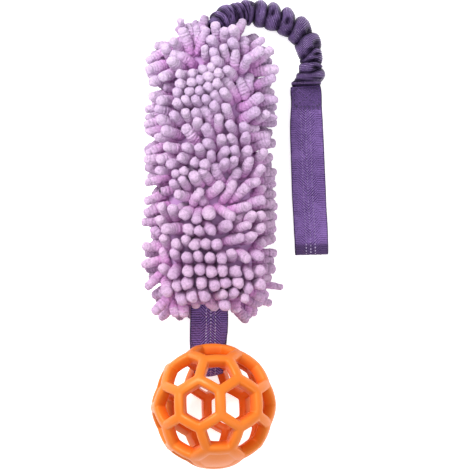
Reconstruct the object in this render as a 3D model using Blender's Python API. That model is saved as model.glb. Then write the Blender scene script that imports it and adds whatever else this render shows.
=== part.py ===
"""Dog tug toy: a padded chenille mop with a lattice ball strapped to its foot
and a bungee with a webbing hand loop at its head. It lies flat on the floor.

Units are millimetres in the tables below and metres in the scene, +Z up,
+Y from the ball towards the head. The origin is the middle of the footprint.
"""

import math

import bmesh
import bpy
import numpy as np
from mathutils import Matrix, Vector

for old in list(bpy.data.objects):
    bpy.data.objects.remove(old, do_unlink=True)

MM = 0.001
GAP = 0.3                    # between touching pieces
ORIGIN = (3.44, 2.46)        # middle of the footprint, in the layout below

# Lattice ball: a truncated icosahedron of rubber ribs
BALL_R = 41.3                # outer radius
BALL_C = (-14.3, -113.5, BALL_R)
RIB_DEPTH = 7.6
RIB_WIDTH_OUT = 8.0          # of the cage, between neighbouring hole edges
RIB_WIDTH_IN = 6.4
CAGE = 0.98                  # rounding draws the cage's skin in by this much
BALL_TURN = (1.6, 7.2, -7.5)  # degrees about Z, then Y, then X
WEB_SINK = 1.2               # the closed cell's web below the ball's skin

# Webbing
WEB_T = 1.5
STRAP_W = 25.0
TAB_W = 20.6                 # of the handle's ends, drawn in by the stitching

# Mop body: nested pillow shells round a load webbing
MOP_X, MOP_Y, MOP_Z = -16.4, 42.5, 27.0
FILL_W, FILL_L, FILL_H = 26.5, 87.5, 11.5
BACKING_T = 1.2
PILE_W, PILE_L = 40.0, 95.0
PILE_FRONT_H, PILE_BACK_H = 29.0, 31.0
SLOT = 1.8                   # half of the slot between front and back halves

# Bungee: gathered sleeve on a rubber core, centre line from head to handle
SLEEVE_R, SLEEVE_BORE, CORE_R = 8.7, 4.9, 4.5
ROUTE = (
    (-13.6, 141.2, 26.2), (-12.2, 145.2, 23.6), (-5.6, 149.2, 17.6),
    (6.8, 151.0, 11.4), (18.3, 149.8, 9.2), (30.0, 146.3, 9.0),
    (39.3, 141.0, 9.0), (46.4, 133.4, 9.0), (50.6, 124.2, 9.0),
    (51.6, 115.0, 9.0), (51.2, 106.4, 8.4),
)

# Hand loop
TAB_TOP, TAB_FOOT, LOOP_FOOT = 102.2, 85.2, -13.6
HANDLE_X_TOP, HANDLE_X_FOOT = 48.4, 52.3

# Joint centres
STRAP_PIVOT = (-17.0, -56.2, 26.4)
BUNGEE_PIVOT = (-13.6, 139.7, 26.2)
BEND_PIVOT = (39.3, 141.0, 9.0)
FLAP_AT, FLAP_Z = 17.0, 3.0   # down the handle from its top, and up


def linear(red, green, blue):
    """Linear colour of an 8-bit display colour."""
    out = []
    for c in (red, green, blue):
        c = c / 255
        out.append(c / 12.92 if c <= 0.04045 else ((c + 0.055) / 1.055) ** 2.4)
    return (*out, 1.0)


def material(name, colour, roughness, metallic=0.0):
    mat = bpy.data.materials.new(name)
    mat.use_nodes = True
    shader = mat.node_tree.nodes["Principled BSDF"]
    shader.inputs["Base Color"].default_value = linear(*colour)
    shader.inputs["Roughness"].default_value = roughness
    shader.inputs["Metallic"].default_value = metallic
    return mat


CHENILLE = ("chenille", (208, 170, 214), 0.95)
BACKING = ("backing", (176, 132, 186), 0.95)
FILLING = ("filling", (236, 234, 230), 1.0)
WEBBING = ("webbing", (98, 70, 124), 0.8)
SLEEVE = ("sleeve", (96, 74, 112), 0.75)
ELASTIC = ("elastic", (232, 226, 214), 0.6)
RUBBER = ("rubber", (240, 132, 50), 0.42)
THREAD = ("thread", (70, 46, 98), 0.8)


# ---------------------------------------------------------------- helpers

pivots = {}


def pivot(name, at, parent=None):
    """An empty on a joint's axis."""
    empty = bpy.data.objects.new(name, None)
    bpy.context.scene.collection.objects.link(empty)
    at = Vector(at)
    place = at - Vector((ORIGIN[0], ORIGIN[1], 0))
    if parent:
        empty.parent = pivots[parent][0]
        place = at - pivots[parent][1]
    empty.location = place * MM
    empty.empty_display_size = 0.01
    pivots[name] = (empty, at)
    return empty


def solid(name, points, faces, finish, body=None, angle=40):
    """A mesh object from points in millimetres, on its body's pivot."""
    base = Vector((ORIGIN[0], ORIGIN[1], 0))
    if body:
        base = pivots[body][1]
    mesh = bpy.data.meshes.new(name)
    mesh.from_pydata([tuple((Vector(p) - base) * MM) for p in points], [], faces)
    work = bmesh.new()
    work.from_mesh(mesh)
    bmesh.ops.recalc_face_normals(work, faces=work.faces)
    if work.calc_volume(signed=True) < 0:
        bmesh.ops.reverse_faces(work, faces=work.faces)
    work.to_mesh(mesh)
    work.free()
    mesh.shade_smooth()
    mesh.set_sharp_from_angle(angle=math.radians(angle))
    obj = bpy.data.objects.new(name, mesh)
    bpy.context.scene.collection.objects.link(obj)
    obj.parent = pivots[body][0] if body else None
    obj.data.materials.append(material(f"{name}_{finish[0]}", finish[1], finish[2]))
    return obj


def loft(rings, closed=True):
    """Points and faces through rings of equal length, with capped ends."""
    n = len(rings[0])
    points = [p for ring in rings for p in ring]
    faces = []
    for i in range(len(rings) - 1):
        for j in range(n):
            k = (j + 1) % n
            faces.append((i * n + j, i * n + k, (i + 1) * n + k, (i + 1) * n + j))
    if closed:
        faces.append(tuple(range(n - 1, -1, -1)))
        last = (len(rings) - 1) * n
        faces.append(tuple(range(last, last + n)))
    return points, faces


def smooth_route(controls, step):
    """Points a step apart on the Catmull-Rom curve through the controls."""
    p = [np.array(c, float) for c in controls]
    p = [2 * p[0] - p[1], *p, 2 * p[-1] - p[-2]]
    dense = []
    for i in range(1, len(p) - 2):
        for t in np.linspace(0, 1, 24, endpoint=False):
            dense.append(0.5 * (2 * p[i] + (p[i + 1] - p[i - 1]) * t
                                + (2 * p[i - 1] - 5 * p[i] + 4 * p[i + 1] - p[i + 2]) * t**2
                                + (3 * p[i] - p[i - 1] - 3 * p[i + 1] + p[i + 2]) * t**3))
    dense.append(p[-2])
    dense = np.array(dense)
    along = np.r_[0, np.cumsum(np.linalg.norm(np.diff(dense, axis=0), axis=1))]
    count = max(2, round(along[-1] / step) + 1)
    at = np.linspace(0, along[-1], count)
    return np.stack([np.interp(at, along, dense[:, k]) for k in range(3)], axis=1), at


def box_loop(centre, across, normal, width, thick):
    """Eight points of a flat strip's section, its long edges a little rounded."""
    c, a, n = (np.array(v, float) for v in (centre, across, normal))
    w, t = width / 2, thick / 2
    r = min(0.35 * t, 0.35 * w)
    flat = ((-w + r, -t), (w - r, -t), (w, -t + r), (w, t - r),
            (w - r, t), (-w + r, t), (-w, t - r), (-w, -t + r))
    return [tuple(c + a * x + n * z) for x, z in flat]


# ---------------------------------------------------------------- mop body

def pillow_height(u, v, height):
    """Height of a pillow at u across and v along, each from -1 to 1."""
    across = max(0.0, 1 - abs(u) ** 2.7) ** (1 / 2.7)
    along = max(0.0, 1 - abs(v) ** 5.0) ** (1 / 3.2)
    return height * across * along


def half_pillow(width, length, height, side, slot, columns, rows, floor=None):
    """Grid of one half of a pillow: side is +1 in front and -1 behind."""
    grid = []
    for i in range(rows + 1):
        v = math.sin(math.pi / 2 * (2 * i / rows - 1))
        for j in range(columns + 1):
            u = math.sin(math.pi / 2 * (2 * j / columns - 1))
            wide = width * (1 - 0.16 * abs(v) ** 9)
            long = length * (1 - 0.035 * abs(u) ** 6)
            z = MOP_Z + side * (slot + pillow_height(u, v, height))
            if floor is not None:
                z = max(z, floor)
            grid.append((MOP_X + wide * u, MOP_Y + long * v, z))
    return grid


def grid_faces(columns, rows, start=0):
    n = columns + 1
    return [(start + i * n + j, start + i * n + j + 1,
             start + (i + 1) * n + j + 1, start + (i + 1) * n + j)
            for i in range(rows) for j in range(columns)]


def rim_of(columns, rows):
    n = columns + 1
    rim = [j for j in range(n)]
    rim += [i * n + columns for i in range(1, rows + 1)]
    rim += [rows * n + j for j in range(columns - 1, -1, -1)]
    rim += [i * n for i in range(rows - 1, 0, -1)]
    return rim


def pillow_shell(name, outer, inner, side, finish, columns=20, rows=22, floor=None):
    """A half shell between two pillows that meet the slot in a flat rim."""
    top = half_pillow(*outer, side, SLOT, columns, rows, floor)
    low = half_pillow(*inner, side, SLOT, columns, rows)
    count = len(top)
    faces = grid_faces(columns, rows)
    faces += [f[::-1] for f in grid_faces(columns, rows, count)]
    rim = rim_of(columns, rows)
    for a, b in zip(rim, rim[1:] + rim[:1]):
        faces.append((a, b, count + b, count + a))
    return solid(name, top + low, faces, finish, angle=50)


def pillow_solid(name, size, side, finish, columns=14, rows=16):
    """A half pillow with a flat face along the slot."""
    top = half_pillow(*size, side, SLOT, columns, rows)
    faces = grid_faces(columns, rows) + [tuple(reversed(rim_of(columns, rows)))]
    return solid(name, top, faces, finish, angle=50)


fill = (FILL_W, FILL_L, FILL_H)
inner = tuple(d + GAP for d in fill)
outer = tuple(d + BACKING_T for d in inner)
under = tuple(d + GAP for d in outer)

for side, word, height, floor in ((1, "front", PILE_FRONT_H, None),
                                  (-1, "back", PILE_BACK_H, 0.0)):
    pillow_solid(f"fibre_filling_{word}", fill, side, FILLING)
    pillow_shell(f"backing_panel_{word}", outer, inner, side, BACKING)
    pillow_shell(f"chenille_pile_{word}", (PILE_W, PILE_L, height), under, side,
                 CHENILLE, columns=22, rows=26, floor=floor)


def seam_tape(name, side):
    """Side seam allowance, sewn between the backing panels' rims."""
    rings = []
    for k in range(19):
        v = -0.97 + 1.94 * k / 18
        x0 = MOP_X + side * outer[0] * (1 - 0.16 * abs(v) ** 9)
        y = MOP_Y + (outer[1] - 3.2) * v
        rings.append([(x0 - side * 0.4, y, MOP_Z - 1.4), (x0 - side * 0.4, y, MOP_Z + 1.4),
                      (x0 - side * 4.4, y, MOP_Z + 1.4), (x0 - side * 4.4, y, MOP_Z - 1.4)])
    points, faces = loft(rings)
    return solid(name, points, faces, BACKING)


seam_tape("side_seam_left", -1)
seam_tape("side_seam_right", 1)


def strip(name, path, width, thick, finish, body=None, across=(1, 0, 0), angle=40):
    """A flat strip along a path of points, width across."""
    path = [np.array(p, float) for p in path]
    rings = []
    for i, p in enumerate(path):
        ahead = path[min(i + 1, len(path) - 1)] - path[max(i - 1, 0)]
        a = np.array(across, float)
        a -= ahead * a.dot(ahead) / ahead.dot(ahead)
        a /= np.linalg.norm(a)
        n = np.cross(ahead, a)
        n /= np.linalg.norm(n)
        w = width[i] if hasattr(width, "__len__") else width
        rings.append(box_loop(p, a, n, w, thick))
    points, faces = loft(rings)
    return solid(name, points, faces, finish, body, angle)


# The load webbing carries the pull through the mop. The strap's ends are sewn
# to its foot, and the bungee's root to its head, all in the slot.
HEAD_Y = MOP_Y + PILE_L
FOOT_Y = MOP_Y - PILE_L
strip("load_webbing", [(MOP_X, MOP_Y - FILL_L + 22, MOP_Z), (MOP_X, MOP_Y, MOP_Z),
                       (MOP_X + 1, MOP_Y + FILL_L - 16, MOP_Z)], STRAP_W, WEB_T, WEBBING)
strip("ball_strap_root", [(MOP_X, MOP_Y - FILL_L + 21.6, MOP_Z), (-16.7, FOOT_Y + 12, MOP_Z),
                          (-17.0, FOOT_Y - 1.2, MOP_Z - 0.2)], STRAP_W, WEB_T, WEBBING)
strip("bungee_root_tape", [(MOP_X + 1, MOP_Y + FILL_L - 14.4, MOP_Z),
                           (-14.4, HEAD_Y - 10, MOP_Z), (-13.8, HEAD_Y - 0.6, MOP_Z)],
      17.0, WEB_T, SLEEVE)


def box_stitch(name, centre, across, along, wide, long, low, high, finish, body=None):
    """Box stitching with a cross: one flat frame of thread over its corners."""
    c, a, d = (np.array(v, float) for v in (centre, across, along))
    bar = 0.9
    half = ((-1, -1), (1, -1), (1, 1), (-1, 1))
    rim = [np.array((sx * wide / 2, sy * long / 2)) for sx, sy in half]
    holes = []
    for k in range(4):
        p, q = rim[k], rim[(k + 1) % 4]
        mid = (p + q) / 2
        inward = -mid / np.linalg.norm(mid)
        run = (q - p) / np.linalg.norm(q - p)
        slope = math.atan2(np.linalg.norm(mid), np.linalg.norm(q - p) / 2)
        cut = bar + bar / 2 / math.sin(slope) + bar / math.tan(slope) * 0.5
        near = p + inward * bar + run * cut * 1.25
        far = q + inward * bar - run * cut * 1.25
        tip = inward * -1 * bar / 2 / math.cos(slope) * 1.1
        holes.append((near, far, tip))
    flat = rim + [v for hole in holes for v in hole]
    faces = []
    for k in range(4):
        j = (k + 1) % 4
        near, far, tip = 4 + 3 * k, 5 + 3 * k, 6 + 3 * k
        near2, tip2 = 4 + 3 * j, 6 + 3 * j
        faces += [(k, j, far, near), (far, j, near2), (tip, far, near2, tip2)]
    faces.append((6, 9, 12, 15))
    count = len(flat)
    points = [tuple(c + a * x + d * y + np.array((0, 0, z))) for z in (high, low) for x, y in flat]
    edges = {}
    for face in faces:
        for p, q in zip(face, face[1:] + face[:1]):
            edges[p, q] = True
    sides = [(q, p, count + p, count + q) for p, q in edges if (q, p) not in edges]
    under = [tuple(count + k for k in reversed(face)) for face in faces]
    return solid(name, points, faces + under + sides, finish, body)


box_stitch("foot_box_stitch", (MOP_X, MOP_Y - FILL_L + 21.8, MOP_Z), (1, 0, 0), (0, 1, 0),
           17, 13, 1.05, 1.5, THREAD)
box_stitch("head_box_stitch", (MOP_X + 1, MOP_Y + FILL_L - 15.8, MOP_Z), (1, 0, 0), (0, 1, 0),
           13, 11, 1.05, 1.5, THREAD)


# ---------------------------------------------------------------- ball

def lattice():
    """Cells of a truncated icosahedron, turned to its rest position."""
    g = (1 + math.sqrt(5)) / 2
    axes = []
    for a in (1, -1):
        for b in (1, -1):
            axes += [(0, a, b * g), (a, b * g, 0), (a * g, 0, b)]
    axes = [Vector(a).normalized() for a in axes]
    near = min((axes[0] - a).length for a in axes[1:])
    z, y, x = (math.radians(d) for d in BALL_TURN)
    turn = Matrix.Rotation(x, 3, "X") @ Matrix.Rotation(y, 3, "Y") @ Matrix.Rotation(z, 3, "Z")
    corners, owner = [], []
    for i, a in enumerate(axes):
        for j, b in enumerate(axes):
            if i != j and abs((a - b).length - near) < 1e-6:
                corners.append((turn @ (a * 2 + b)).normalized())
                owner.append((i, j))
    cells = [[k for k, o in enumerate(owner) if o[0] == i] for i in range(12)]
    for i in range(12):
        for j in range(i + 1, 12):
            for k in range(j + 1, 12):
                trio = {i, j, k}
                cell = [n for n, o in enumerate(owner) if set(o) <= trio]
                if len(cell) == 6:
                    cells.append(cell)
    ordered = []
    for cell in cells:
        mid = sum((corners[k] for k in cell), Vector()).normalized()
        side = (corners[cell[0]] - mid * corners[cell[0]].dot(mid)).normalized()
        up = mid.cross(side)
        ordered.append(sorted(cell, key=lambda k: math.atan2(corners[k].dot(up), corners[k].dot(side))))
    return corners, ordered


def ball():
    corners, cells = lattice()
    middles = [sum((corners[k] for k in cell), Vector()).normalized() for cell in cells]
    closed_cell = max((i for i, c in enumerate(cells) if len(c) == 6),
                      key=lambda i: middles[i].dot(Vector((0, -0.88, 0.47))))
    centre = Vector(BALL_C)
    points, faces = [], []
    outer_at, inner_at = {}, {}
    inner_r = BALL_R - RIB_DEPTH

    def put(direction, radius):
        points.append(tuple(centre + direction.normalized() * radius))
        return len(points) - 1

    for f, cell in enumerate(cells):
        n = len(cell)
        flat = sum(corners[k].dot(middles[f]) for k in cell) / n
        reach = math.sqrt(1 - flat * flat) * math.cos(math.pi / n)
        for k in cell:
            ray = corners[k] - middles[f] * flat
            out = middles[f] * flat + ray * (1 - RIB_WIDTH_OUT / 2 / (BALL_R * reach))
            ins = middles[f] * flat + ray * (1 - RIB_WIDTH_IN / 2 / (inner_r * reach))
            outer_at[f, k] = put(out, BALL_R + CAGE)
            inner_at[f, k] = put(ins, inner_r + CAGE / 3)
    edges = {}
    for f, cell in enumerate(cells):
        for a, b in zip(cell, cell[1:] + cell[:1]):
            edges.setdefault(frozenset((a, b)), []).append(f)
            if f != closed_cell:
                faces.append((outer_at[f, a], outer_at[f, b], inner_at[f, b], inner_at[f, a]))
    for edge, (f, g) in edges.items():
        a, b = edge
        faces.append((outer_at[f, a], outer_at[f, b], outer_at[g, b], outer_at[g, a]))
        faces.append((inner_at[f, a], inner_at[g, a], inner_at[g, b], inner_at[f, b]))
    for k in range(len(corners)):
        ring = [f for f, cell in enumerate(cells) if k in cell]
        faces.append(tuple(outer_at[f, k] for f in ring))
        faces.append(tuple(inner_at[f, k] for f in ring))
    for at, radius in ((outer_at, BALL_R - WEB_SINK), (inner_at, inner_r + WEB_SINK)):
        hub = put(middles[closed_cell], radius)
        cell = cells[closed_cell]
        for a, b in zip(cell, cell[1:] + cell[:1]):
            faces.append((at[closed_cell, a], at[closed_cell, b], hub))
    return corners, cells, points, faces


corners, cells, ball_points, ball_faces = ball()

# The strap is threaded round the rib nearest this direction from the centre.
STRAP_RIB = Vector((-0.16, 0.67, -0.72)).normalized()
rib = max(({a, b} for cell in cells for a, b in zip(cell, cell[1:] + cell[:1])),
          key=lambda e: sum((corners[k] for k in e), Vector()).dot(STRAP_RIB))
rib_a, rib_b = sorted((corners[k] for k in rib), key=lambda c: c.x)
RIB_MID_R = BALL_R - RIB_DEPTH / 2
rib_mid = Vector(BALL_C) + (rib_a + rib_b).normalized() * RIB_MID_R
rib_axis = (rib_b - rib_a).normalized()

pivot("strap_flex", STRAP_PIVOT)
pivot("ball_swing", tuple(rib_mid), "strap_flex")

toy_ball = solid("lattice_ball", ball_points, ball_faces, RUBBER, "ball_swing", 180)
smooth = toy_ball.modifiers.new("rounding", "SUBSURF")
smooth.levels = smooth.render_levels = 1


# ---------------------------------------------------------------- ball strap

def blend(x, table):
    """Smooth value at x of a table of (x, value)."""
    for (x0, v0), (x1, v1) in zip(table, table[1:]):
        if x <= x1:
            t = min(1.0, max(0.0, (x - x0) / (x1 - x0)))
            return v0 + (v1 - v0) * t * t * (3 - 2 * t)
    return table[-1][1]


LOOP_R = 5.9                 # strap's mid line round the rib
reach = Vector(STRAP_PIVOT) - rib_mid
strap_h = reach.normalized()
strap_a = (rib_axis - strap_h * rib_axis.dot(strap_h)).normalized()
strap_n = strap_a.cross(strap_h)
if strap_n.dot(rib_mid - Vector(BALL_C)) < 0:
    strap_n = -strap_n
STRAP_END = reach.length - 2.7

SPREAD = ((0, LOOP_R), (17, 1.05))
WIDTH_OUTER = ((2, 8.4), (12, STRAP_W))
WIDTH_INNER = ((0, 7.6), (4, 8.2), (9, 11.5), (14, 16.0), (21, STRAP_W))
WIDTH_TURN = ((90, 8.4), (120, 7.6), (270, 7.6))
THICK_TURN = ((90, 1.6), (120, 2.0), (270, 2.0))


def strap_loop():
    stations = []
    runs = [STRAP_END * (1 - k / 12) for k in range(12)]
    for x in runs:
        stations.append((x, blend(x, SPREAD), blend(x, WIDTH_OUTER), blend(x, ((0, 1.6), (9, 1.4)))))
    for k in range(13):
        turn = 90 + 15 * k
        stations.append((LOOP_R * math.cos(math.radians(turn)), LOOP_R * math.sin(math.radians(turn)),
                         blend(turn, WIDTH_TURN), blend(turn, THICK_TURN)))
    for x in (2.0, 4.5, 7.5, 10.5, 13.5, 16.5, 20.0, STRAP_END * 0.8, STRAP_END):
        stations.append((x, -blend(x, SPREAD), blend(x, WIDTH_INNER), blend(x, ((0, 2.0), (14, 1.4)))))
    mids = [rib_mid + strap_h * x + strap_n * w for x, w, _, _ in stations]
    rings = []
    for i, (x, _, width, thick) in enumerate(stations):
        ahead = (mids[min(i + 1, len(mids) - 1)] - mids[max(i - 1, 0)]).normalized()
        level = min(1.0, max(0.0, (x - 12) / 14))
        across = strap_a.lerp(Vector((1, 0, 0)), level)
        across = (across - ahead * across.dot(ahead)).normalized()
        rings.append(box_loop(mids[i], across, ahead.cross(across), width, thick))
    points, faces = loft(rings)
    return solid("ball_strap_loop", points, faces, WEBBING, "strap_flex")


strap_loop()


# ---------------------------------------------------------------- bungee

pivot("bungee_swing", BUNGEE_PIVOT)
pivot("bungee_bend", BEND_PIVOT, "bungee_swing")


def tube_rings(path, aheads, radii, sides):
    """Rings square to a path, without twist."""
    rings = []
    normal = None
    for i, p in enumerate(path):
        ahead = aheads[i]
        if normal is None:
            normal = np.cross(ahead, (0.0, 0.0, 1.0))
            normal = np.cross(normal, ahead)
        normal = normal - ahead * normal.dot(ahead)
        normal /= np.linalg.norm(normal)
        side = np.cross(ahead, normal)
        rings.append([tuple(p + radii[i] * (normal * math.cos(2 * math.pi * k / sides)
                                            + side * math.sin(2 * math.pi * k / sides)))
                      for k in range(sides)])
    return rings


def hose(name, path, aheads, outer, bore, finish, body, sides=12):
    """An open-ended tube: the outer wall, then back along the bore."""
    rings = tube_rings(path, aheads, outer, sides) + tube_rings(path, aheads, bore, sides)[::-1]
    points, faces = loft(rings, closed=False)
    n, last = sides, (len(rings) - 1) * sides
    faces += [(last + j, last + (j + 1) % n, (j + 1) % n, j) for j in range(n)]
    return solid(name, points, faces, finish, body, 60)


def rod(name, path, aheads, radius, finish, body, sides=10):
    points, faces = loft(tube_rings(path, aheads, radius, sides))
    return solid(name, points, faces, finish, body, 60)


LOBE = 9.6                   # length of one gather of the sleeve
route, along = smooth_route(ROUTE, LOBE / 2)
bend_at = min(range(len(route)), key=lambda i: np.linalg.norm(route[i] - np.array(BEND_PIVOT)))


def bungee_part(word, first, last, body):
    path = route[first:last + 1].copy()
    run = along[first:last + 1]
    ahead = np.gradient(route, axis=0)[first:last + 1]
    ahead /= np.linalg.norm(ahead, axis=1)[:, None]
    # Each end stands back from its neighbour's by half a gap.
    path[0] += ahead[0] * GAP / 2
    path[-1] -= ahead[-1] * GAP / 2
    swell = [min(SLEEVE_R, 6.0 + 0.5 * s, 6.6 + 0.6 * (along[-1] - s)) for s in run]
    ripple = [-0.7 * ((i + first) % 2) for i in range(len(run))]
    hose(f"bungee_sleeve_{word}", path, ahead, [a + b for a, b in zip(swell, ripple)],
         [SLEEVE_BORE] * len(run), SLEEVE, body)
    rod(f"elastic_core_{word}", path, ahead, [CORE_R] * len(run), ELASTIC, body)


bungee_part("root", 0, bend_at, "bungee_swing")
bungee_part("leg", bend_at, len(route) - 1, "bungee_bend")


# ---------------------------------------------------------------- hand loop

down = np.array((HANDLE_X_FOOT - HANDLE_X_TOP, LOOP_FOOT - TAB_TOP, 0.0))
HANDLE_L = float(np.linalg.norm(down))
down /= HANDLE_L
wide = np.array((-down[1], down[0], 0.0))
top = np.array((HANDLE_X_TOP, TAB_TOP, 0.0))


def on_handle(t, z):
    return tuple(top + down * t + np.array((0.0, 0.0, z)))


pivot("bungee_stretch", on_handle(0, FLAP_Z), "bungee_bend")
pivot("handle_flap", on_handle(FLAP_AT, FLAP_Z), "bungee_stretch")

TAB_END = FLAP_AT - 2.4
strip("handle_tab_under", [on_handle(0, 0.75), on_handle(TAB_END, 0.75)], TAB_W, WEB_T,
      WEBBING, "bungee_stretch", wide)
strip("handle_tab_over", [on_handle(0.6, 5.25), on_handle(TAB_END, 5.25)], TAB_W, WEB_T,
      WEBBING, "bungee_stretch", wide)
sleeve_foot = [(-3.6, 7.6, 15.5, 11.0), (-2.6, 6.0, 17.5, 7.6), (-1.4, 3.9, 18.2, 3.8),
               (0.2, 3.0, 18.2, 2.4), (TAB_END - 2, 3.0, 18.2, 2.4)]
rings = []
for t, z, w, h in sleeve_foot:
    rings.append([tuple(np.array(on_handle(t, z)) + wide * w / 2 * math.cos(a)
                        + np.array((0, 0, h / 2)) * math.copysign(abs(math.sin(a)) ** 0.6, math.sin(a)))
                  for a in (2 * math.pi * k / 14 for k in range(14))])
points, faces = loft(rings)
solid("sleeve_end", points, faces, SLEEVE, "bungee_stretch")
box_stitch("handle_box_stitch", on_handle(TAB_END / 2 + 0.2, 0), wide, down, 16.5, 12.5,
           6.3, 6.8, THREAD, "bungee_stretch")


def hem_rows():
    """Two rows of thread across the flattened sleeve, joined by their returns."""
    low, high = 6.9, 7.4
    across = 7.2
    rows = ((-across, -0.2), (across, -0.2), (across, -2.2), (-across, -2.2))
    inner = ((-across + 1.2, -0.8), (across - 1.2, -0.8), (across - 1.2, -1.6), (-across + 1.2, -1.6))
    points = []
    for z in (high, low):
        for x, t in rows + inner:
            lift = 2.0 * max(0.0, (-t - 0.6)) * 0.9
            points.append(tuple(np.array(on_handle(t, z + lift)) + wide * x))
    faces = []
    for k in range(4):
        j = (k + 1) % 4
        faces.append((k, j, 4 + j, 4 + k))
        faces.append((8 + j, 8 + k, 12 + k, 12 + j))
        faces.append((j, k, 8 + k, 8 + j))
        faces.append((4 + k, 4 + j, 12 + j, 12 + k))
    return solid("sleeve_hem_stitch", points, faces, THREAD, "bungee_stretch")


hem_rows()


LOOP_WIDTH = ((17, TAB_W), (31, 22.4), (58, 23.1), (99, 23.1), (112, 22.8))
LOOP_BOW = ((17, -0.3), (31, -0.78), (79, -0.7), (100, -0.15), (112, -0.2))  # sideways


def hand_loop():
    over, under, fold_r = 7.4, 0.75, (7.4 - 0.75) / 2
    fold_t, fold_z = HANDLE_L - 0.75 - fold_r, (7.4 + 0.75) / 2
    stations = [(FLAP_AT + 2.4, 4.0), (FLAP_AT + 5, 5.0), (FLAP_AT + 9, 6.7), (FLAP_AT + 14, over),
                (45, over), (65, over), (85, over), (100, over), (fold_t, over)]
    stations += [(fold_t + fold_r * math.sin(math.radians(a)), fold_z + fold_r * math.cos(math.radians(a)))
                 for a in (22.5, 45, 67.5, 90, 112.5, 135, 157.5)]
    stations += [(fold_t, under), (100, under), (85, under), (65, under), (45, under),
                 (FLAP_AT + 14, under), (FLAP_AT + 9, under), (FLAP_AT + 5, 1.2), (FLAP_AT + 2.4, 2.0)]
    widths = [blend(t, LOOP_WIDTH) for t, _ in stations]
    mids = [tuple(np.array(on_handle(t, z)) + wide * blend(t, LOOP_BOW)) for t, z in stations]
    strip("handle_loop", mids, widths, WEB_T, WEBBING,
          "handle_flap", wide)


hand_loop()
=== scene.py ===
"""Looks of the dog tug toy: a chenille mop with a rubber lattice ball on a
webbing strap and a gathered bungee with a webbing hand loop.

Shapes are worked out in millimetres in the part's layout, whose origin lies
under the camera, and go to the row frame in metres when a mesh is made.
"""

import math

import bpy
import numpy as np
from mathutils import Matrix, Vector


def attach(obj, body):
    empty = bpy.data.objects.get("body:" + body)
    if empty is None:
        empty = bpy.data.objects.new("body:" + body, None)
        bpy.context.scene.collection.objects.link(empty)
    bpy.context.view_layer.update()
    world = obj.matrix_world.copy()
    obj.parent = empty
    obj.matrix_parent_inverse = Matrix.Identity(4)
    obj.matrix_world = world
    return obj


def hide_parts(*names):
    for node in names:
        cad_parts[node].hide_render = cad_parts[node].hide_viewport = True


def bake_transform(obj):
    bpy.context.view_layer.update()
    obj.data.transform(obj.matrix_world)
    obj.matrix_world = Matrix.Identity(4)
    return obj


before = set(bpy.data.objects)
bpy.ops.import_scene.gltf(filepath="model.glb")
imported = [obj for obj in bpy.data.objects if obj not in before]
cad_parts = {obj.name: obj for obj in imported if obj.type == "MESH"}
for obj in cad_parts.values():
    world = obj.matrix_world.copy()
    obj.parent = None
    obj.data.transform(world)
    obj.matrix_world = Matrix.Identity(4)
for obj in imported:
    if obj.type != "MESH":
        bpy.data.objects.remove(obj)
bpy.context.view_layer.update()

ORIGIN = np.array((3.44, 2.46, 0.0))
CAMERA_Z = 1500.0

# Mop
MOP_X, MOP_Y, MOP_Z = -16.4, 42.5, 27.0
SLOT = 1.8
CORE_W, CORE_L, CORE_H = 28.0, 89.0, 13.0
FINGER_LENGTH = 16.5          # root to the middle of the rounded tip

# Ball
BALL_R, RIB_DEPTH = 41.3, 7.6
BALL_C = (-14.3, -113.5, BALL_R)
RIB_WIDTH_OUT, RIB_WIDTH_IN, CAGE, WEB_SINK = 8.0, 6.4, 0.98, 1.2
BALL_TURN = (1.6, 7.2, -7.5)

# Straps and bungee
STRAP_PIVOT = (-17.0, -56.2, 26.4)
BUNGEE_PIVOT = (-13.6, 139.7, 26.2)
BEND_PIVOT = (39.3, 141.0, 9.0)
ROUTE = (
    (-13.6, 141.2, 26.2), (-12.2, 145.2, 23.6), (-5.6, 149.2, 17.6),
    (6.8, 151.0, 11.4), (18.3, 149.8, 9.2), (30.0, 146.3, 9.0),
    (39.3, 141.0, 9.0), (46.4, 133.4, 9.0), (50.6, 124.2, 9.0),
    (51.6, 115.0, 9.0), (51.2, 106.4, 8.4),
)
TAB_TOP, LOOP_FOOT, HANDLE_X_TOP, HANDLE_X_FOOT, FLAP_AT = 102.2, -13.6, 48.4, 52.3, 17.0

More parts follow.
